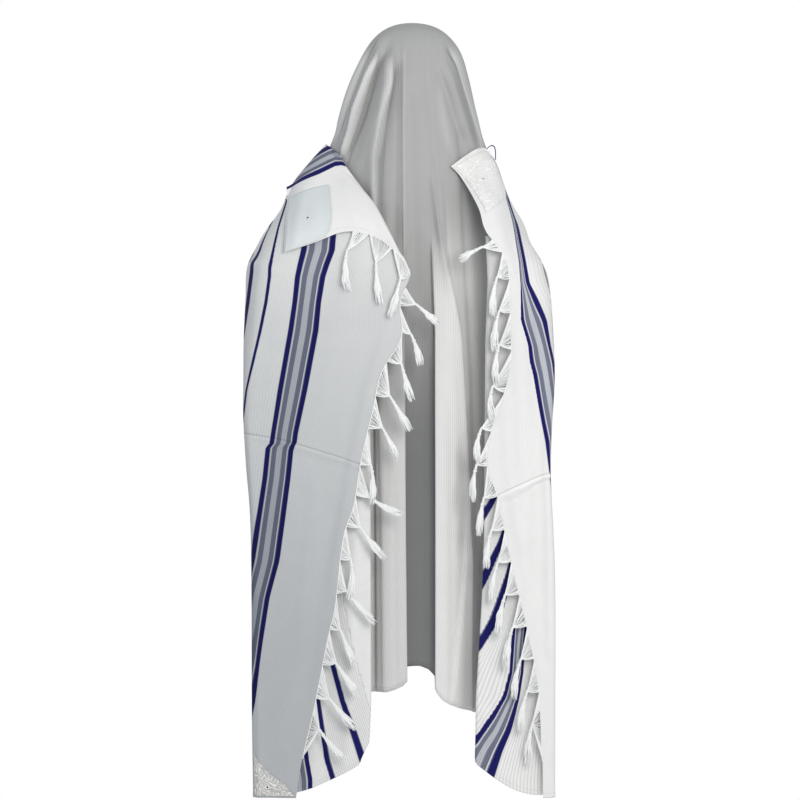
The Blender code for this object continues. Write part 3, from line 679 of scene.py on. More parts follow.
RIGHT_LINES = [
    (-224, -158, -159, -160, -161), (-272, -173, -174, -175, -177), (-319, -180, -181, -182, -186),
    (-336, -180, -181, -182, -187), (-376, -190, -191, -195, -202), (-414, -197, -198, -201, -208),
    (-458, -202, -204, -209, -216), (-496, -204, -206, -215, -223), (-528, -204, -208, -227, -239),
    (-566, -204, -211, -243, -255), (-613, -218, -226, -255, -262), (-644, -221, -230, -263, -269),
    (-669, -228, -237, -266, -273), (-725, -238, -246, -274, -281), (-794, -251, -258, -281, -289),
    (-850, -257, -262, -287, -294), (-927, -269, -274, -294, -302), (-1022, -275, -280, -304, -312),
    (-1440, -300, -305, -330, -338),
]
LEFT_END_CREASES = rows_of(Crease, [
    ([(322, -769), (268, -791), (215, -804), (101, -839), (70, -850)], 3.6, 4, 9, True),
    ([(322, -776), (268, -799), (215, -812), (101, -847), (70, -858)], -3.2, 3.5, 5, True),
    ([(318, -452), (285, -462), (255, -474), (215, -480)], 2.0, 8, 12, True),
    ([(60, -360), (150, -620), (196, -900), (226, -1240), (240, -1490)], 4.0, 40, 40),
    ([(150, -420), (206, -640), (250, -900), (276, -1240), (280, -1490)], -4.5, 30, 34),
    ([(70, -560), (104, -700), (132, -840), (170, -1060), (206, -1280)], -3.0, 16, 20),
    ([(40, -560), (82, -690), (116, -850), (152, -1060)], 2.5, 10, 16),
    ([(262, -330), (290, -520), (304, -760), (300, -1100)], 2.5, 10, 18),
    ([(210, -500), (238, -620), (252, -760)], -2.0, 20, 14),
    ([(180, -860), (200, -1020), (214, -1200)], 2.0, 12, 22),
    ([(292, -1000), (262, -1020), (200, -1036), (150, -1030)], 0.9, 10, 14, True),
    ([(300, -1240), (262, -1254), (226, -1250)], 1.0, 10, 14, True),
    ([(270, -596), (200, -612), (120, -604)], 0.9, 9, 14, True),
])
RIGHT_END_CREASES = rows_of(Crease, [
    ([(-160, -900), (-190, -893), (-226, -872), (-253, -860), (-275, -856)], 3.4, 4, 9, True),
    ([(-160, -908), (-190, -901), (-226, -880), (-253, -868), (-275, -864)], -3.0, 3.5, 5, True),
    ([(-150, -330), (-182, -450), (-196, -600), (-206, -760), (-214, -1000)], 4.5, 16, 20),
    ([(-182, -400), (-214, -520), (-228, -640), (-236, -820), (-240, -1100)], -4.0, 14, 16),
    ([(-176, -700), (-180, -840), (-206, -1000), (-236, -1180), (-250, -1400)], 3.0, 12, 14),
    ([(-234, -560), (-252, -700), (-256, -900), (-260, -1200)], 3.0, 8, 12),
    ([(-126, -300), (-150, -380), (-170, -480)], 3.0, 8, 14),
])
# How much painted shade an end takes, by height: the left one is painted darker and cooler down its
# lower half.
LEFT_END_PAINTED_SHADE = [(-250, 0.14), (-430, 0.20), (-560, 0.36), (-900, 0.50), (-1200, 0.60)]
RIGHT_END_PAINTED_SHADE = [(-250, 0.02), (-620, 0.05), (-1000, 0.03), (-1200, 0.0)]


def back_depth(x, z):
    """How far back the hood and back reach at x and z, found by stepping towards that place."""
    s, t = 0.5 + x / 400.0, 0.45
    for _ in range(24):
        place = hood_place(s, t)
        s = min(1.0, max(0.0, s + (x - place.x) / 420.0))
        t = min(1.0, max(0.38, t + (place.z - z) / 1900.0))
    return place.y


def end_depth(table, x, z):
    """How far back a thrown-back end hangs at x and z."""
    side = at_height(table, z, SIDE_Z)
    full = mix(side.side_y + 30, END_DEPTH, ease((RIDGE_Z - z) / RIDGE_DROP))
    resting = 1.0 - ease((REST_Z - z) / REST_FADE)
    if resting > 0 and abs(x) < REST_X:
        resting *= ease((REST_X - abs(x)) / REST_EDGE)
        full = max(full, mix(full, back_depth(x, z) + REST_LIFT, resting))
    turn = max(14.0, (full - side.side_y) * 0.8)
    near = min(1.0, max(0.0, 1.0 - abs(side.side_x - x) / turn))
    rounded = (full - side.side_y) * (1.0 - sqrt(1.0 - near * near))
    wave = 2.5 * sin(x / 24.0 + z / 300.0) * ease((REST_Z - z) / 200) * (1.0 - near)
    depth = full - rounded + wave
    if z > REST_Z and abs(x) < REST_X + 15:
        depth = max(depth, back_depth(x, z) + 0.7 * REST_LIFT)
    return depth


def end_place(table, s, t):
    """A thrown-back end: s runs from its outer side to its fringe, t from the shoulder down."""
    section = between(table, t)
    f = mix(s * s, s, 0.35)
    x = mix(section.side_x, section.edge_x, f)
    z = mix(section.side_z, section.edge_z, f)
    if table is END_RIGHT:
        z += TOP_RISE * sin(pi * s) * ease(1.0 - t / 0.06)
    if s == 0.0:
        return Vector((x, section.side_y, z))
    return Vector((x, end_depth(table, x, z), z))


# Over the left shoulder the stripes climb: at an x, the z of their band's lower and upper edge.
FLAP_LINES = [
    (251, -323, -292), (227, -311, -276), (210, -302, -262), (194, -295, -251), (176, -288, -238),
    (160, -280, -229), (147, -273, -226), (135, -271, -232), (119, -275, -246), (89, -300, -268),
    (23, -367, -319),
]
CLIMBING_BLUE = 0.21   # the share of the band that each of its two blue stripes takes there


def over_shoulder(z, lower, upper):
    """The distance from the fringe where the stripes climb the shoulder, the blue ones wider."""
    blue = CLIMBING_BLUE * (upper - lower)
    steps = ((lower, 150.0), (lower + blue, 161.0), (upper - blue, 197.0), (upper, 208.0))
    for (z0, d0), (z1, d1) in zip(steps, steps[1:]):
        if z <= z1 or d1 == 208.0:
            return mix(d0, d1, (z - z0) / (z1 - z0))


def end_distance(table, bands, lines, spot, t):
    """How far from the fringed edge a spot of an end was on the flat cloth."""
    known = [(between(table, t).edge_x, 0.0)] + list(zip(at_height(lines, spot.z)[1:], bands))
    distance = read_across(known, spot.x, 0.55 if spot.x < 0 else 1.6)
    if spot.x > 0 and spot.z > -340:
        over = over_shoulder(spot.z, *at_height(FLAP_LINES, spot.x)[1:])
        distance = mix(distance, over, ease((spot.z + 338) / 20))
    if spot.x < 0 and spot.z > -560:
        side_y = at_height(END_RIGHT, spot.z, SIDE_Z).side_y
        turned = ease((side_y + 14 - spot.y) / 8) * ease((spot.z + 560) / 60)
        distance = mix(distance, PLAIN_TURN, turned)
    return distance


striped_wool = wool_material("striped_wool", True, single_and_shade=PAINTED_SHADE_TINT)

# packet_fold is how high above the hem that fold lies at the fringed edge, in metres, and its
# slant.
# shades gives an end's painted shade by height.
End = namedtuple("End", "name node table bands lines creases shades packet_fold facing")
ENDS = [
    End("end_left_cloth", "end_left", END_LEFT, LEFT_BANDS, LEFT_LINES, LEFT_END_CREASES,
        LEFT_END_PAINTED_SHADE, (0.648, 0.185), -1.0),
    End("end_right_cloth", "end_right", END_RIGHT, RIGHT_BANDS, RIGHT_LINES, RIGHT_END_CREASES,
        RIGHT_END_PAINTED_SHADE, (0.585, 0.223), 1.0),
]
for end in ENDS:
    piece = lay_cloth(
        end.name, lambda s, t: end_place(end.table, s, t), END_ACROSS_STEPS, END_DOWN_STEPS,
        end.facing,
        from_edge=lambda spot, s, t: end_distance(end.table, end.bands, end.lines, spot, t),
        relief=lambda spot, s, t: crease_rise(end.creases, spot.x, spot.z) * ease(s / 0.12),
        shade=lambda spot: at_height(end.shades, spot.z)[1])
    piece.data.materials.append(wool_material(
        "folded_wool", True, single_and_shade=PAINTED_SHADE_TINT, packet_fold=end.packet_fold))
    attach(piece, "root")
    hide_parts(end.node)

# ---- Layers under the ends ----------------------------------------------------------------------
# Below each shoulder the end folds forward round its outer side and hangs on as a second layer,
# whose stripes run slantwise. Its inner fold shows beside the back, and its hem a little higher.
TURN_RADIUS = 13.0     # how tightly an end folds forward
UNDER_DEPTH = 145.0    # how far behind the crown the layers hang
UNDER_GAP = 1.2
HEM_RISE = 64.0        # how much higher the hem is at the inner fold
TUCK = 13.0            # how far the tucked-in layer stands off the back beside it
SEAM = 0.6
UNDER_FIRST = 8        # the step of an end at which the layer under it starts
SHOULDER_ROWS = 12     # steps of an end that its shoulder stretch meets

# The inner fold of the layer under an end: a height, and the x of the fold there.
INNER_LEFT = [(-385, 98), (-470, 86), (-604, 80), (-1290, 78), (-1400, 82), (HEM_Z, 98)]
INNER_RIGHT = [
    (-380, -138), (-492, -143), (-608, -139), (-984, -137), (-1098, -133), (-1288, -122),
    (HEM_Z, -120),
]

# Where the stripes of a layer lie, as for the ends.
UNDER_LEFT_LINES = [
    (-908, 321, 277, 245, 205), (-1098, 293, 249, 213, 173), (-1193, 279, 234, 198, 155),
    (-1288, 266, 213, 182, 129), (-1346, 256, 203, 175, 107), (-1404, 247, 195, 167, 87),
    (-1440, 241, 189, 156, 76),
]
UNDER_RIGHT_BANDS = (150, 208, 250, 329, 393)
UNDER_RIGHT_LINES = [
    (-756, -277, -262, -245, -217, -188), (-908, -253, -240, -224, -190, -146),
    (-984, -243, -225, -205, -165, -96), (-1051, -232, -213, -190, -131, -53),
    (-1098, -226, -203, -179, -102, -30), (-1134, -221, -192, -169, -80, -15),
    (-1174, -216, -189, -144, -62, 0), (-1235, -212, -185, -101, -42, 15),
    (-1282, -205, -173, -75, -26, 25), (-1320, -196, -149, -56, -12, 35),
    (-1347, -189, -129, -46, -2, 42), (-1387, -173, -95, -31, 12, 50),
    (-1440, -156, -63, -15, 32, 61),
]
# The slant draws out the blue stripes of the right layer: a distance as its lines give it, and the
# distance whose colour shows there.
SLANTED = [
    (0, 0), (150, 150), (162, 161), (194, 197), (208, 208), (250, 250), (270, 261), (306, 315),
    (330, 330), (374, 379), (393, 394), (420, 420),
]
UNDER_RIGHT_CREASES = rows_of(Crease, [
    ([(-160, -820), (-150, -1000), (-140, -1200), (-136, -1440)], 4.0, 8, 12),
    ([(-180, -1040), (-166, -1200), (-158, -1440)], -3.5, 10, 9),
    ([(-230, -1140), (-205, -1300), (-196, -1460)], 3.0, 10, 14),
])
UNDER_LEFT_CREASES = rows_of(Crease, [
    ([(100, -900), (112, -1100), (120, -1300), (126, -1440)], -4.0, 12, 9),
    ([(150, -1100), (160, -1280), (170, -1460)], 3.5, 14, 12),
    ([(190, -1180), (214, -1330), (226, -1460)], -3.0, 14, 12),
])


def beside_back(way, z, lift, ahead):
    """A place by the side of the back at a height: lift stands off it, ahead runs on past it."""
    upper, lower = 0.4, 1.0
    while lower - upper > 0.0005:
        t = (upper + lower) / 2.0
        hoop = between(HOOPS, t)
        if (hoop.left_z if way > 0 else hoop.right_z) > z:
            upper = t
        else:
            lower = t
    side, rounding = side_of(hoop, way > 0)
    side = side.xy
    along = (side - Vector((rounding, mix(side.y, hoop.mid_y, SLOPE_DEEP)))).normalized()
    return side + along * ahead + Vector((-along.y * way, along.x * way)) * lift


def under_path(table, creases, way, row):
    """One row of the layer under an end, from the outer fold to the side of the body."""
    side = end_place(table, 0.0, row / END_DOWN)
    share = (row - UNDER_FIRST) / (END_DOWN - UNDER_FIRST)
    inset = 0.0 if row > SHOULDER_ROWS else 5.0 + 24.0 * ease((SHOULDER_ROWS - row) / 5.0)
    x, y, z = side.x - way * inset, side.y - UNDER_GAP - 0.3 * inset, side.z
    near = y - TURN_RADIUS
    _, crease = at_height(creases, z)
    rise = HEM_RISE * ease((share - 0.86) / 0.14)
    wave = 3.0 * sin(z / 120.0)
    flat = x - way * TURN_RADIUS

    def under(x, depth, up):
        return Vector((x, min(depth, end_depth(table, x, z) - TURN_RADIUS), z + rise * up))

    fold = under(crease + way * 8, UNDER_DEPTH, 0.88)
    path = [
        Vector((x, y, z)),
        Vector((x - way * 0.12 * TURN_RADIUS, mix(y, near, 0.5), z)),
        Vector((x - way * 0.45 * TURN_RADIUS, mix(y, near, 0.86), z)),
        Vector((flat, near, z)),
        under(mix(flat, crease + way * 8, 0.25), mix(near, UNDER_DEPTH, 0.7), 0.04),
        under(mix(flat, crease + way * 8, 0.50), UNDER_DEPTH + wave, 0.2),
        under(mix(flat, crease + way * 8, 0.75), UNDER_DEPTH - wave, 0.5),
        fold,
        Vector((crease + way * 1.5, fold.y - 2.5, z + rise)),
        Vector((crease, fold.y - 6.0, z + rise)),
        Vector((crease + way * 1.5, fold.y - 9.5, z + rise)),
        Vector((crease + way * 8, fold.y - 12.0, z + rise)),
    ]
    inner_z = z + rise + 60 * ease((share - 0.6) / 0.4)
    start = path[-1].xy
    for f in (0.3, 0.6, 0.85):
        spot = start.lerp(beside_back(way, inner_z, TUCK, 0.0), f)
        path.append(Vector((spot.x, spot.y, mix(z + rise, inner_z, f))))
    for lift, ahead in ((1.0, 2.0), (0.85, 7.0), (0.5, 9.5), (0.15, 7.0), (0.0, SEAM)):
        spot = beside_back(way, inner_z, lift * TUCK, ahead + SEAM)
        path.append(Vector((spot.x, spot.y, inner_z)))
    return path


# The wool's inner face shows here, with more painted shade in the grooves of its ribs.
ribbed_wool = wool_material("ribbed_wool", True, single_and_shade=PAINTED_SHADE_TINT, groove_shade=0.24)
Under = namedtuple("Under", "name node end inner bands lines creases way shade last flat area over")
# shade is the painted shade a layer takes: the left one is painted darker, as it hangs in shade
# under its end
UNDERS = [
    Under("under_left_cloth", "under_left", ENDS[0], INNER_LEFT, LEFT_BANDS, UNDER_LEFT_LINES,
          UNDER_LEFT_CREASES, 1.0, 0.10, 372.0, (0.46, 1.0), 0.45, "shoulder_left_cloth"),
    Under("under_right_cloth", "under_right", ENDS[1], INNER_RIGHT, UNDER_RIGHT_BANDS,
          UNDER_RIGHT_LINES, UNDER_RIGHT_CREASES, -1.0, 0.0, 400.0, (0.33, 1.0), 0.32,
          "shoulder_right_cloth"),
]
UNDER_ACROSS_STEPS, UNDER_DOWN_STEPS = 160, 150
for under in UNDERS:
    paths = [under_path(under.end.table, under.inner, under.way,
                        mix(UNDER_FIRST, END_DOWN, j / UNDER_DOWN_STEPS))
             for j in range(UNDER_DOWN_STEPS + 1)]

    def under_distance(spot, s, t):
        """Stripes of the end at the outer fold, the slanting ones inside it, then straight on."""
        row = paths[round(t * UNDER_DOWN_STEPS)]
        turned = 9.0 / (len(row) - 1)
        known = list(zip(at_height(under.lines, spot.z)[1:], under.bands))
        if s > turned:
            fold = on_path(row, turned)
            return min(under.last, read_across(known, fold.x) + (spot - fold).length)
        outer = end_distance(under.end.table, under.end.bands, under.end.lines,
                             row[0], mix(UNDER_FIRST, END_DOWN, t) / END_DOWN)
        known.insert(0, (2 * known[0][0] - known[1][0], 2 * known[0][1] - known[1][1]))
        inside = under.way * (known[0][0] - spot.x) > 0
        inner = read_across(known, spot.x, 1.0) if inside else known[0][1]
        if under.way < 0:
            inner = read_across(SLANTED, inner)
        return min(under.last, mix(outer, inner, ease(s / 0.2)))

    piece = lay_cloth(
        under.name, lambda s, t: on_path(paths[round(t * UNDER_DOWN_STEPS)], s),
        UNDER_ACROSS_STEPS, UNDER_DOWN_STEPS, under.way,
        from_edge=under_distance,
        relief=lambda spot, s, t: crease_rise(under.creases, spot.x, spot.z) * ease((s - 0.2) / 0.1)
        * ease((0.44 - s) / 0.08),
        shade=lambda spot: under.shade)
    piece.data.materials.append(ribbed_wool)
    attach(piece, "root")
    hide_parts(under.node)

# ---- Shoulders ----------------------------------------------------------------------------------
# The stretch of cloth that comes up from the chest over each shoulder and joins the hood to the end
# behind it. It is the same length of wool, so the end's stripes run on over the ridge and down in
# front.
NECK_GAP = 1.1
PLAIN_PART = 400.0     # distance from the fringe past the last stripe
FACE_ROWS, HOOD_DOWN = 9, 30   # it meets this many of the steps of the hood's table
LOW_TURN = Vector((0, 14, 6))  # how its low edge in front turns under
# a little painted shade on the shoulder stretches
SHOULDER_SHADE = 0.05
OVER_STEPS, FRONT_STEPS = 90, 60

# A strip over a shoulder: where it passes the front of the shoulder, and its low fold.
Strap = namedtuple("Strap", "front_x front_y front_z low_x low_y low_z")
SHOULDER_LEFT = rows_of(Strap, [
    (140, -76, -272, 112, -134, -348), (180, -78, -292, 164, -136, -425),
    (222, -70, -330, 216, -122, -456), (256, -58, -372, 262, -96, -478),
    (294, -34, -428, 296, -56, -500), (311, 4, -472, 311, -26, -516),
    (315, 44, -526, 314, -4, -532),
])
SHOULDER_RIGHT = rows_of(Strap, [
    (-128, -76, -276, -104, -134, -348), (-154, -78, -294, -146, -136, -425),
    (-184, -70, -334, -184, -122, -456), (-216, -56, -388, -218, -92, -482),
    (-238, -18, -458, -240, -52, -506), (-256, 40, -520, -257, -8, -528),
])


def shoulder_place(table, end_table, way, s, t):
    """The stretch over a shoulder: s runs from the neck outwards, t from the ridge down."""
    def strap(s):
        row = between(table, s)
        ridge = end_place(end_table, 0.0, s * SHOULDER_ROWS / END_DOWN) - Vector((0, SEAM, 0))
        low = Vector((row.low_x, row.low_y, row.low_z))
        over = Vector((row.front_x, row.front_y, row.front_z)) * 2.0 - (ridge + low) * 0.5
        return ridge * (1 - t) ** 2 + over * 2.0 * (1 - t) * t + low * t * t

    neck = hood_place(0.5 + 0.5 * way, (1.0 - t) * FACE_ROWS / HOOD_DOWN)
    neck += Vector((way * NECK_GAP, 0, -SEAM))
    away = ease(s / 0.3)
    place = strap(s) + (neck - strap(0.0)) * (1.0 - away)
    place.y += 7.0 * sin(9.0 * s + 2.0 * t) * sin(pi * t) * away
    return place + LOW_TURN * ease((t - 0.88) / 0.12) * away * ease((1.0 - s) / 0.3)


Shoulder = namedtuple("Shoulder", "name node straps end way flat area")
SHOULDERS = [
    Shoulder("shoulder_left_cloth", "shoulder_left", SHOULDER_LEFT, ENDS[0], 1.0,
             (0.35, 0.19), 0.061),
    Shoulder("shoulder_right_cloth", "shoulder_right", SHOULDER_RIGHT, ENDS[1], -1.0,
             (0.31, 0.19), 0.052),
]
for shoulder in SHOULDERS:
    def ridge_distance(spot, s, t):
        if shoulder.way < 0:
            return PLAIN_PART - spot.x
        end, row = shoulder.end, s * SHOULDER_ROWS / END_DOWN
        return end_distance(end.table, end.bands, end.lines, end_place(end.table, 0.0, row), row)

    def shoulder_relief(spot, s, t):
        soft = sin(11.0 * s + 3.0 * t) + 0.6 * sin(23.0 * s - 4.0 * t + 1.0)
        return 2.6 * soft * sin(pi * t) * ease(s / 0.25)

    piece = lay_cloth(
        shoulder.name,
        lambda s, t: shoulder_place(shoulder.straps, shoulder.end.table, shoulder.way, s, t),
        OVER_STEPS, FRONT_STEPS, -shoulder.way,
        from_edge=ridge_distance, relief=shoulder_relief, hem_low=False,
        shade=lambda spot: SHOULDER_SHADE)
    piece.data.materials.append(striped_wool)
    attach(piece, "root")
    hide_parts(shoulder.node)


# Where the right end leaves the ridge its blue stripe curls up into a small open loop.
CURL = [Vector((-145, -236)), Vector((-149, -232)), Vector((-155, -230)), Vector((-160, -233)),
        Vector((-162, -243)), Vector((-162, -257))]
CURL_DEEP, CURL_THICKNESS = 12.0, 1.4
CURL_START, CURL_BLUE = 152.0, 5.0   # the part of the blue stripe that it shows
CURL_SHARE = 0.03      # how far down the right end the curl leaves it


def curl_place(s, t):
    """The curl: s runs round its loop, t backwards from the ridge."""
    spot = on_path(CURL, s)
    ridge = end_place(END_RIGHT, 0.0, CURL_SHARE)
    return Vector((spot.x, ridge.y + 2.0 + CURL_DEEP * t, spot.y))


curl = lay_cloth(
    "shoulder_right_curl", curl_place, 30, 8, 1.0, hem_low=False, thickness=CURL_THICKNESS,
    from_edge=lambda spot, s, t: CURL_START + CURL_BLUE * t)
curl.data.materials.append(striped_wool)
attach(curl, "root")
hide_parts("shoulder_right")

# ---- Turned-over corner -------------------------------------------------------------------------
# The top corner of the left end has dropped over, so its inner face shows: the stripes run across
# it and round towards the shoulder, one side has the sewn hem and the lower side the fringe.
CLOTH = 1.8            # thickness that the solids leave for the wool
FLAP_LIFT = 8.0        # how far the corner stands off the end under it
FLAP_DOWN = 10         # steps of the end's table that the corner's fold spans
BAND_START = 150.0     # distance from the fringe at which the stripes begin
# a little painted shade on the turned corner
FLAP_SHADE = 0.04
FLAP_ACROSS_STEPS, FLAP_DOWN_STEPS = 80, 72

# The turned-over corner of the left end: its top along the shoulder, and its fringed edge below.
Spot = namedtuple("Spot", "x z")
FLAP_TOP = rows_of(Spot, [(240, -312), (217, -283), (193, -256), (164, -226)])
FLAP_SIDE = rows_of(Spot, [(240, -312), (238, -352), (241, -439)])
FLAP_FRINGED = rows_of(Spot, [
    (241, -439), (184, -420), (127, -400), (70, -408), (23, -445), (4, -481),
])

FLAP_CREASES = rows_of(Crease, [
    ([(206, -320), (214, -380), (222, -440)], 2.4, 12, 10),
    ([(176, -300), (168, -360), (160, -410)], -2.2, 14, 12),
    ([(128, -300), (116, -350), (100, -400)], 3.0, 16, 14),
    ([(88, -330), (72, -380), (60, -420)], -2.0, 10, 10),
    ([(40, -400), (30, -430), (20, -462)], 2.0, 10, 8),
])


def flap_place(s, t):
    """The turned-over corner: s runs from its hemmed side to the fold, t from the shoulder down."""
    top, fringed = between(FLAP_TOP, s), between(FLAP_FRINGED, s)
    hemmed = between(FLAP_SIDE, t)
    fold = end_place(END_LEFT, 1.0, t * FLAP_DOWN / END_DOWN)
    corners = zip(FLAP_TOP[0], FLAP_TOP[-1], FLAP_SIDE[-1], FLAP_FRINGED[-1])
    flat_x, flat_z = (mix(mix(a, b, s), mix(c, d, s), t) for a, b, c, d in corners)
    x = mix(top.x, fringed.x, t) + mix(hemmed.x, fold.x - 0.5, s) - flat_x
    z = mix(top.z, fringed.z, t) + mix(hemmed.z, fold.z, s) - flat_z
    lift = mix(CLOTH + SEAM, FLAP_LIFT, ease((1.0 - s) / 0.16)) + 6.0 * (1.0 - ease(t / 0.5))
    inner_x = min(x, at_height(END_LEFT, z, SIDE_Z).side_x - 5)
    return Vector((x, end_depth(END_LEFT, inner_x, z) + lift, z))


def flap_distance(spot, s, t):
    """How far a spot of the turned corner was from the fringe on the flat cloth."""
    edge = between(FLAP_FRINGED, s).z
    _, lower, upper = at_height(FLAP_LINES, spot.x)
    if spot.z > lower:
        return over_shoulder(spot.z, lower, upper)
    return mix(0.0, BAND_START, (spot.z - edge + 3.0) / (lower - edge + 3.0))


flap = lay_cloth(
    "flap_left_cloth", flap_place, FLAP_ACROSS_STEPS, FLAP_DOWN_STEPS, -1.0,
    from_edge=flap_distance,
    relief=lambda spot, s, t: crease_rise(FLAP_CREASES, spot.x, spot.z) * ease((1.0 - s) / 0.15)
    * ease(t / 0.2),
    shade=lambda spot: FLAP_SHADE)
flap.data.materials.append(striped_wool)
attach(flap, "root")
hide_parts("flap_left")

# ---- Corner patches -----------------------------------------------------------------------------
# A square of figured satin is sewn over each corner to strengthen it, with one line of stitches
# just inside its edge and a small thread-bound eyelet for the ritual strings. It lies flat on the
# wool.
PATCH_LIFT = 1.5       # how far the satin lies off the wool
PATCH_WALL = 0.7
PATCH_STEPS = 44
STITCH_INSET = 3.0     # how far the stitches run inside the edge
EYELET_RADIUS, EYELET_THREAD = 2.6, 0.75
RING_LIFT, HOLE_LIFT, HOLE_DEPTH = 0.55, 0.35, 0.5
# how far the woven figures wander, how close together they are, and how tightly they coil
CURL_SWAY, CURL_SCALE, CURL_TURNS = 0.016, 62.0, 26.0
SATIN_LOOKS = {"Sheen Weight": 0.2, "Specular IOR Level": 0.5}


def laid_place(name, s, t):
    """A place on a laid cloth, read straight between the points of its grid."""
    rows = laid[name]
    column, row = s * (len(rows[0]) - 1), t * (len(rows) - 1)
    i, j = min(int(column), len(rows[0]) - 2), min(int(row), len(rows) - 2)
    upper = rows[j][i].lerp(rows[j][i + 1], column - i)
    return upper.lerp(rows[j + 1][i].lerp(rows[j + 1][i + 1], column - i), row - j)


def laid_normal(name, s, t, way):
    """The direction square to a laid cloth, backwards where way is 1."""
    across = laid_place(name, min(1.0, s + 0.02), t) - laid_place(name, max(0.0, s - 0.02), t)
    down = laid_place(name, s, min(1.0, t + 0.02)) - laid_place(name, s, max(0.0, t - 0.02))
    normal = across.cross(down).normalized()
    return normal if normal.y * way > 0 else -normal


def satin_material(name, figure, colour):
    """Figured satin: curling figures a little brighter than the ground, and a line of stitches."""
    material, tree, shader = new_material(name, SATIN_LOOKS)
    lay = add_node(tree, "UVMap", uv_map="UVMap").outputs["UV"]
    bent = add_node(tree, "TexNoise", {"Scale": 70.0, "Detail": 1.0, "Vector": lay})
    sway = add_node(tree, "VectorMath", {
        0: bent.outputs["Color"], 1: (CURL_SWAY, CURL_SWAY, 0.0), 2: lay}, operation="MULTIPLY_ADD")
    leaves = add_node(tree, "TexVoronoi", {
        "Scale": CURL_SCALE, "Smoothness": 0.3, "Vector": sway.outputs["Vector"]},
        feature="SMOOTH_F1")
    coils = link_math(tree, "MULTIPLY", leaves.outputs["Distance"], CURL_TURNS)
    figures = link_math(tree, "SMOOTH_MAX", link_math(tree, "SINE", coils), 0.0, 0.3)
    weave = add_node(tree, "Group", {
        "Rib spacing": 0.0011, "Groove shade": 0.05, "Thread": 0.0008, "Lay": lay}, node_tree=WEAVE)
    edge = add_node(tree, "Attribute", attribute_name="from_edge")
    split = add_node(tree, "SeparateXYZ", {"Vector": lay}).outputs
    run = link_math(tree, "ADD", split["X"], split["Y"])
    dashes = link_math(tree, "GREATER_THAN", link_math(tree, "PINGPONG", run, 0.0014), 0.0005)
    in_row = link_math(tree, "COMPARE", edge.outputs["Fac"], STITCH_INSET, 0.5)
    sewn = link_math(tree, "MULTIPLY", dashes, in_row)
    shade = link_math(tree, "MULTIPLY_ADD", figures, figure, weave.outputs["Shade"])
    feed(tree, shader.inputs["Roughness"], link_math(tree, "MULTIPLY_ADD", figures, -0.16, 0.56))
    height = link_math(tree, "MULTIPLY_ADD", figures, 1.2, weave.outputs["Height"])
    finish_surface(tree, shader, colour, link_math(tree, "MULTIPLY_ADD", sewn, -0.22, shade),
                   link_math(tree, "MULTIPLY_ADD", sewn, -2.0, height), 0.3, 0.0005)
    return material


# A dark disc sunk in each eyelet is painted shade, standing for the darkness inside its hole.
painted_hole_shade, hole_tree, hole_shader = new_material("eyelet_opening", {"Roughness": 0.95})
grain = add_node(hole_tree, "TexNoise", {"Scale": 900.0})
hole_tint = add_node(hole_tree, "Mix", {
    "A": (0.02, 0.02, 0.024, 1.0), "B": (0.05, 0.05, 0.055, 1.0),
    "Factor": grain.outputs["Fac"]}, data_type="RGBA")
feed(hole_tree, hole_shader.inputs["Base Color"], hole_tint.outputs["Result"])

brocade = satin_material("figured_satin", 0.17, (0.79, 0.79, 0.775))
silver_brocade = satin_material("silver_brocade", 0.75, (0.47, 0.47, 0.455))
plain_satin = satin_material("plain_satin", 0.02, (0.66, 0.70, 0.71))


def spot_at(name, x, z):
    """How far across and down a laid cloth its rearmost spot near x and z lies."""
    rows = laid[name]
    _, j, i = min(((spot.x - x) ** 2 + (spot.z - z) ** 2 - spot.y, j, i)
                  for j, row in enumerate(rows) for i, spot in enumerate(row))
    s = i / (len(rows[0]) - 1)
    return (0.99 if s > 0.92 else s), j / (len(rows) - 1)


# A patch's corners as (x, z) places, top then low, each from the outer side to the fringed edge.
# way is 1 where it faces backwards, and eyelet is how far across and down the patch its hole is.
Patch = namedtuple("Patch", "name node cloth corners way satin eyelet flat area")
PATCHES = [
    Patch("patch_left_top_satin", "patch_left_top", "flap_left_cloth",
          ((235, -333), (158, -310), (240, -438), (162, -409)), 1.0,
          plain_satin, (0.47, 0.52), (0.103, 0.115), 0.0114),
    Patch("patch_left_low_satin", "patch_left_low", "end_left_cloth",
          ((299, -1392), (242, -1442), (299, -1470), (226, -1470)), 1.0,
          silver_brocade, (0.5, 0.6), (0.074, 0.060), 0.0030),
    Patch("patch_right_top_satin", "patch_right_top", "end_right_cloth",
          ((-150, -240), (-78, -276), (-176, -331), (-139, -363)), 1.0,
          brocade, (0.66, 0.54), (0.100, 0.110), 0.0099),
    Patch("patch_right_low_satin", "patch_right_low", "under_right_cloth",
          ((-177, -1421), (-146, -1440), (-206, -1440), (-176, -1462)), -1.0,
          brocade, (0.5, 0.5), (0.040, 0.035), 0.0009),
]
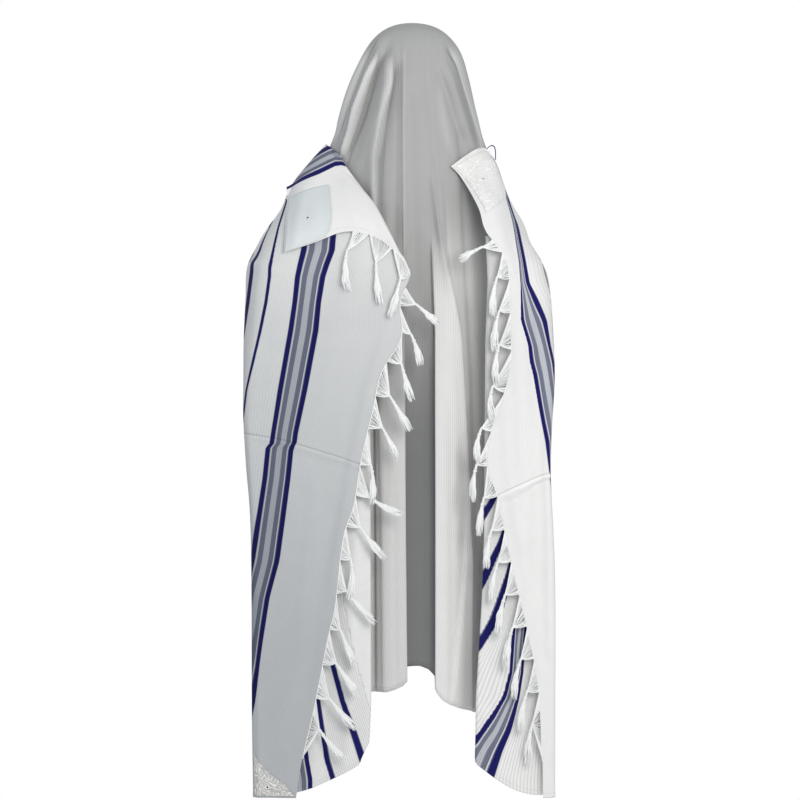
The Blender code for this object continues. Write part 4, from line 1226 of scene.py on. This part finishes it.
for patch in PATCHES:
    corners = [Vector(spot_at(patch.cloth, *corner)) for corner in patch.corners]

    def across_patch(s, t):
        return corners[0].lerp(corners[1], s).lerp(corners[2].lerp(corners[3], s), t)

    def on_patch(s, t):
        at = across_patch(s, t)
        return laid_place(patch.cloth, *at) + laid_normal(patch.cloth, *at, patch.way) * PATCH_LIFT

    rows = [[on_patch(i / PATCH_STEPS, j / PATCH_STEPS) for i in range(PATCH_STEPS + 1)]
            for j in range(PATCH_STEPS + 1)]
    middle = PATCH_STEPS // 2
    wide, high = running(rows[middle])[-1], running([row[middle] for row in rows])[-1]
    turned = (rows[0][1] - rows[0][0]).cross(rows[1][0] - rows[0][0]).y * patch.way
    bm = bmesh.new()
    bmesh.ops.create_grid(bm, x_segments=PATCH_STEPS, y_segments=PATCH_STEPS, size=1.0)
    lay = bm.loops.layers.uv.new("UVMap")
    from_edge = bm.verts.layers.float.new("from_edge")
    spots = {}
    for vertex in bm.verts:
        s, t = (vertex.co.x + 1.0) / 2.0, (1.0 - vertex.co.y) / 2.0
        spots[vertex] = (s * wide * MM, t * high * MM)
        vertex[from_edge] = min(s * wide, (1.0 - s) * wide, t * high, (1.0 - t) * high)
        vertex.co = rows[round(t * PATCH_STEPS)][round(s * PATCH_STEPS)] * MM
    for face in bm.faces:
        for loop in face.loops:
            loop[lay].uv = spots[loop.vert]
    if turned < 0:
        bmesh.ops.reverse_faces(bm, faces=bm.faces)
    piece = put_in_scene(patch.name, mesh_from(bm, patch.name))
    piece.data.materials.append(patch.satin)
    add_wall(piece, PATCH_WALL)
    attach(piece, "root")
    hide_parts(patch.node)

    # the eyelet: a ring of thread round a small hole, filled with a sunk disc of painted shade
    centre = on_patch(*patch.eyelet)
    up = laid_normal(patch.cloth, *across_patch(*patch.eyelet), patch.way)
    turn = up.to_track_quat("Z", "Y").to_matrix()
    for part, slot_name, material in (
            ("ring", "fringe_thread", patch.satin), ("hole", "satin", painted_hole_shade)):
        bm = bmesh.new()
        if part == "ring":
            bmesh.ops.create_circle(bm, segments=8, radius=EYELET_THREAD * MM)
            bmesh.ops.rotate(bm, verts=bm.verts, cent=(0, 0, 0),
                             matrix=Matrix.Rotation(pi / 2, 3, "X"))
            bmesh.ops.translate(bm, verts=bm.verts, vec=(EYELET_RADIUS * MM, 0, RING_LIFT * MM))
            bmesh.ops.spin(bm, geom=bm.verts[:] + bm.edges[:], cent=(0, 0, 0), axis=(0, 0, 1),
                           angle=2 * pi, steps=28, use_merge=True)
            bmesh.ops.recalc_face_normals(bm, faces=bm.faces)
        else:
            radius = EYELET_RADIUS * 0.8 * MM
            bmesh.ops.create_cone(bm, cap_ends=True, segments=24, radius1=radius, radius2=radius,
                                  depth=HOLE_DEPTH * MM)
            bmesh.ops.translate(bm, verts=bm.verts, vec=(0, 0, HOLE_LIFT * MM))
        for vertex in bm.verts:
            vertex.co = turn @ vertex.co + centre * MM
        eyelet = put_in_scene(f"{patch.node}_{part}", mesh_from(bm, f"{patch.node}_{part}"))
        eyelet.data.materials.append(material)
        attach(eyelet, "root")

# ---- Fringes ------------------------------------------------------------------------------------
# Along both short ends the warp threads are left long, drawn together in small nets, twisted and
# knotted, and below each knot they open in a soft frayed tassel. White wool yarn, like the cloth.
NET_LIFT = 4.0         # how far a knot hangs off the cloth
NET_DROOP = 26.0       # how much further down the edge a knot hangs than its threads' roots
NET_THREADS = 25
TIP_LIFT = 4.0         # how much further off the cloth than its knot a tassel's tip hangs
BACKWARDS = Vector((0, 1, 0))
NECK_LENGTH = 13.0     # the twisted part under the net
PLIES, PLY_STEPS, PLY_TURNS, PLY_OFF = 3, 12, 1.6, 1.25
KNOT_RADIUS = 2.5
TAIL_LOCKS = 34
TAIL_BRUSH = 7.0       # half the width of a tassel at its end
LEFT_FRINGE_ROWS = (11, 32)   # steps of an end between which its fringe is tied
RIGHT_FRINGE_ROWS = (8, 32)
FLAP_FRINGE_START = 5 / 11    # how far along the turned corner its fringe starts

# One tassel of a fringe: where its knot and its tip hang.
Tassel = namedtuple("Tassel", "knot_x knot_z tip_x tip_z")
FLAP_TASSELS = rows_of(Tassel, [
    (122, -434, 122, -506), (68, -458, 60, -532), (22, -488, 40, -556),
])
LEFT_TASSELS = rows_of(Tassel, [
    (-8, -536, -49, -572), (2, -592, -16, -648), (20, -648, 2, -714), (42, -709, 6, -770),
    (56, -768, 28, -826), (78, -838, 74, -908), (80, -900, 20, -932), (98, -956, 54, -1012),
    (116, -1016, 118, -1090), (124, -1077, 72, -1134), (136, -1150, 108, -1216),
    (144, -1214, 104, -1272), (156, -1282, 110, -1338), (176, -1340, 128, -1396),
])
RIGHT_TASSELS = rows_of(Tassel, [
    (-132, -428, -92, -452), (-160, -484, -152, -556), (-164, -548, -156, -620),
    (-164, -612, -158, -684), (-152, -690, -152, -752), (-131, -769, -123, -830),
    (-122, -838, -116, -904), (-136, -900, -126, -968), (-150, -962, -140, -1030),
    (-162, -1022, -150, -1094), (-176, -1084, -164, -1156), (-190, -1146, -178, -1218),
    (-206, -1206, -192, -1278), (-218, -1268, -206, -1340), (-228, -1330, -220, -1402),
])

yarn_material, yarn_tree, yarn_shader = new_material(
    "fringe_yarn", {"Roughness": 0.9, "Sheen Weight": 0.25})
fibre = add_node(yarn_tree, "TexNoise", {
    "Scale": 650.0, "Detail": 3.0, "Vector": add_node(yarn_tree, "TexCoord").outputs["Object"]})
tone = add_node(yarn_tree, "Mix", {
    "A": (0.80, 0.81, 0.81, 1.0), "B": (0.93, 0.935, 0.925, 1.0),
    "Factor": fibre.outputs["Fac"]}, data_type="RGBA")
feed(yarn_tree, yarn_shader.inputs["Base Color"], tone.outputs["Result"])
fuzz = add_node(yarn_tree, "Bump", {
    "Strength": 0.5, "Distance": 0.0004, "Height": fibre.outputs["Fac"]})
feed(yarn_tree, yarn_shader.inputs["Normal"], fuzz.outputs["Normal"])


def add_yarn(curve, points, radii):
    """One yarn through points in millimetres, its radius given at each of them."""
    spline = curve.splines.new("POLY")
    spline.points.add(len(points) - 1)
    for point, place, radius in zip(spline.points, points, radii):
        point.co = (*(place * MM), 1.0)
        point.radius = radius


def tie_fringe(name, node, edge, out, tassels, table, lift, seed):
    """Threads drawn from a cloth's edge to each tassel's knot, a twisted neck and a frayed tail."""
    draw = Random(seed)
    curve = bpy.data.curves.new(name, "CURVE")
    curve.dimensions = "3D"
    curve.bevel_depth = MM
    curve.bevel_resolution = 0
    curve.use_fill_caps = True
    lengths = running(edge)

    def on_edge(distance):
        distance = min(lengths[-1], max(0.0, distance))
        i = max(k for k in range(len(lengths) - 1) if lengths[k] <= distance)
        share = (distance - lengths[i]) / (lengths[i + 1] - lengths[i])
        return edge[i].lerp(edge[i + 1], min(1.0, share))

    def nearest(tassel):
        knot = Vector((tassel.knot_x, tassel.knot_z))
        spots = [lengths[-1] * i / 400.0 for i in range(401)]
        spots = [spot for spot in spots if on_edge(spot).z > tassel.knot_z]
        return min(spots, key=lambda spot: (on_edge(spot).xz - knot).length)

    rope = [on_edge(lengths[-1] * i / 160.0) + out * 0.6 for i in range(161)]
    add_yarn(curve, rope, [0.9 + 0.25 * (i % 2) for i in range(161)])
    middles = [min(lengths[-1] - 10.0, max(10.0, nearest(tassel) - NET_DROOP))
               for tassel in tassels]
    limits = [-middles[0]] + middles + [2 * lengths[-1] - middles[-1]]
    for k, tassel in enumerate(tassels):
        before, after = middles[k] - limits[k], limits[k + 2] - middles[k]
        knot, tip = (Vector((x, end_depth(table, x, z) + off, z)) for x, z, off in (
            (tassel.knot_x, tassel.knot_z, lift), (tassel.tip_x, tassel.tip_z, lift + TIP_LIFT)))
        length = (tip - knot).length
        straight = (tip - knot).normalized()
        pulled = (knot - on_edge(middles[k])).normalized()
        wide = straight.cross(BACKWARDS).normalized()
        for i in range(NET_THREADS):
            share = 2.0 * i / (NET_THREADS - 1) - 1.0
            spread = share * 0.47 * (before if share < 0 else after) + draw.uniform(-1.0, 1.0)
            root = on_edge(middles[k] + spread)
            sag = Vector((0, draw.uniform(-0.5, 2.0), -draw.uniform(0.5, 3.0)))
            bound = abs(share) > 0.8
            end = knot + wide * draw.uniform(-0.9, 0.9)
            points = [root.lerp(end, f) + sag * sin(pi * f) for f in (0.0, 0.2, 0.4, 0.6, 0.8, 1.0)]
            add_yarn(curve, points, [1.2 if bound else 0.65] * 5 + [0.9])

        def along(f):
            """A place on the bent line from knot to tip."""
            bend = knot.lerp(tip, 0.5) + (pulled - straight) * 0.2 * length
            return knot * (1 - f) ** 2 + bend * 2 * f * (1 - f) + tip * f * f

        def about(turn):
            """The direction square to the tassel at a turn round it."""
            return wide * cos(turn) + BACKWARDS * sin(turn)

        neck = NECK_LENGTH / length
        for ply in range(PLIES):
            points = []
            for i in range(PLY_STEPS + 1):
                turn = 2 * pi * (ply / PLIES + PLY_TURNS * i / PLY_STEPS)
                points.append(along(neck * i / PLY_STEPS) + about(turn) * PLY_OFF)
            add_yarn(curve, points, [1.7] * len(points))
        for turn in (0.0, 1.0):
            middle = along(neck * (0.95 + 0.16 * turn))
            loop = [middle + about(a) * KNOT_RADIUS + straight * 0.7 * sin(a + turn)
                    for a in [2 * pi * i / 10.0 for i in range(11)]]
            add_yarn(curve, loop, [1.6] * len(loop))
        for _ in range(TAIL_LOCKS):
            turn, out_at = draw.uniform(0, 2 * pi), sqrt(draw.uniform(0.0, 1.0))
            side = wide * cos(turn) * TAIL_BRUSH + BACKWARDS * sin(turn) * TAIL_BRUSH * 0.5
            reach = draw.uniform(0.84, 1.08)
            phase, crimp = draw.uniform(0, 2 * pi), draw.uniform(0.3, 1.1)
            points = []
            for i in range(10):
                f = neck + (reach - neck) * i / 9.0
                opened = 0.25 + 0.75 * ease(i / 7.0)
                points.append(along(f) + side * out_at * opened * (0.85 + 0.15 * i / 9.0)
                              + wide * crimp * sin(phase + 1.3 * i) * min(1.0, i / 3.0))
            add_yarn(curve, points, [1.5, 1.6, 1.6, 1.6, 1.55, 1.5, 1.4, 1.2, 0.9, 0.4])
    drawn = put_in_scene(name + "_lines", curve)
    bpy.context.view_layer.update()
    shaped = drawn.evaluated_get(bpy.context.evaluated_depsgraph_get())
    mesh = bpy.data.meshes.new_from_object(shaped)
    bpy.data.objects.remove(drawn, do_unlink=True)
    bpy.data.curves.remove(curve)
    mesh.name = name
    mesh.shade_smooth()
    mesh.materials.clear()
    mesh.materials.append(yarn_material)
    piece = put_in_scene(name, mesh)
    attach(piece, "root")
    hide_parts(node)
    return piece


def laid_edge(name, first, last):
    """The fringed edge of an end as laid, between two steps of its table."""
    return [laid_place(name, 1.0, mix(first, last, i / 120.0) / END_DOWN) for i in range(121)]


flap_edge = [laid_place("flap_left_cloth", mix(FLAP_FRINGE_START, 1.0, i / 60.0), 1.0)
             for i in range(61)]
fringes = {
    "end_left": tie_fringe(
        "fringe_left_yarn", "fringe_left", laid_edge("end_left_cloth", *LEFT_FRINGE_ROWS),
        Vector((-1, 0, 0)), LEFT_TASSELS, END_LEFT, NET_LIFT, 3),
    "end_right": tie_fringe(
        "fringe_right_yarn", "fringe_right", laid_edge("end_right_cloth", *RIGHT_FRINGE_ROWS),
        Vector((1, 0, 0)), RIGHT_TASSELS, END_RIGHT, NET_LIFT, 5),
    "flap": tie_fringe(
        "fringe_left_flap_yarn", "fringe_left_flap", flap_edge,
        Vector((0, 0, -1)), FLAP_TASSELS, END_LEFT, FLAP_LIFT + NET_LIFT, 7),
}
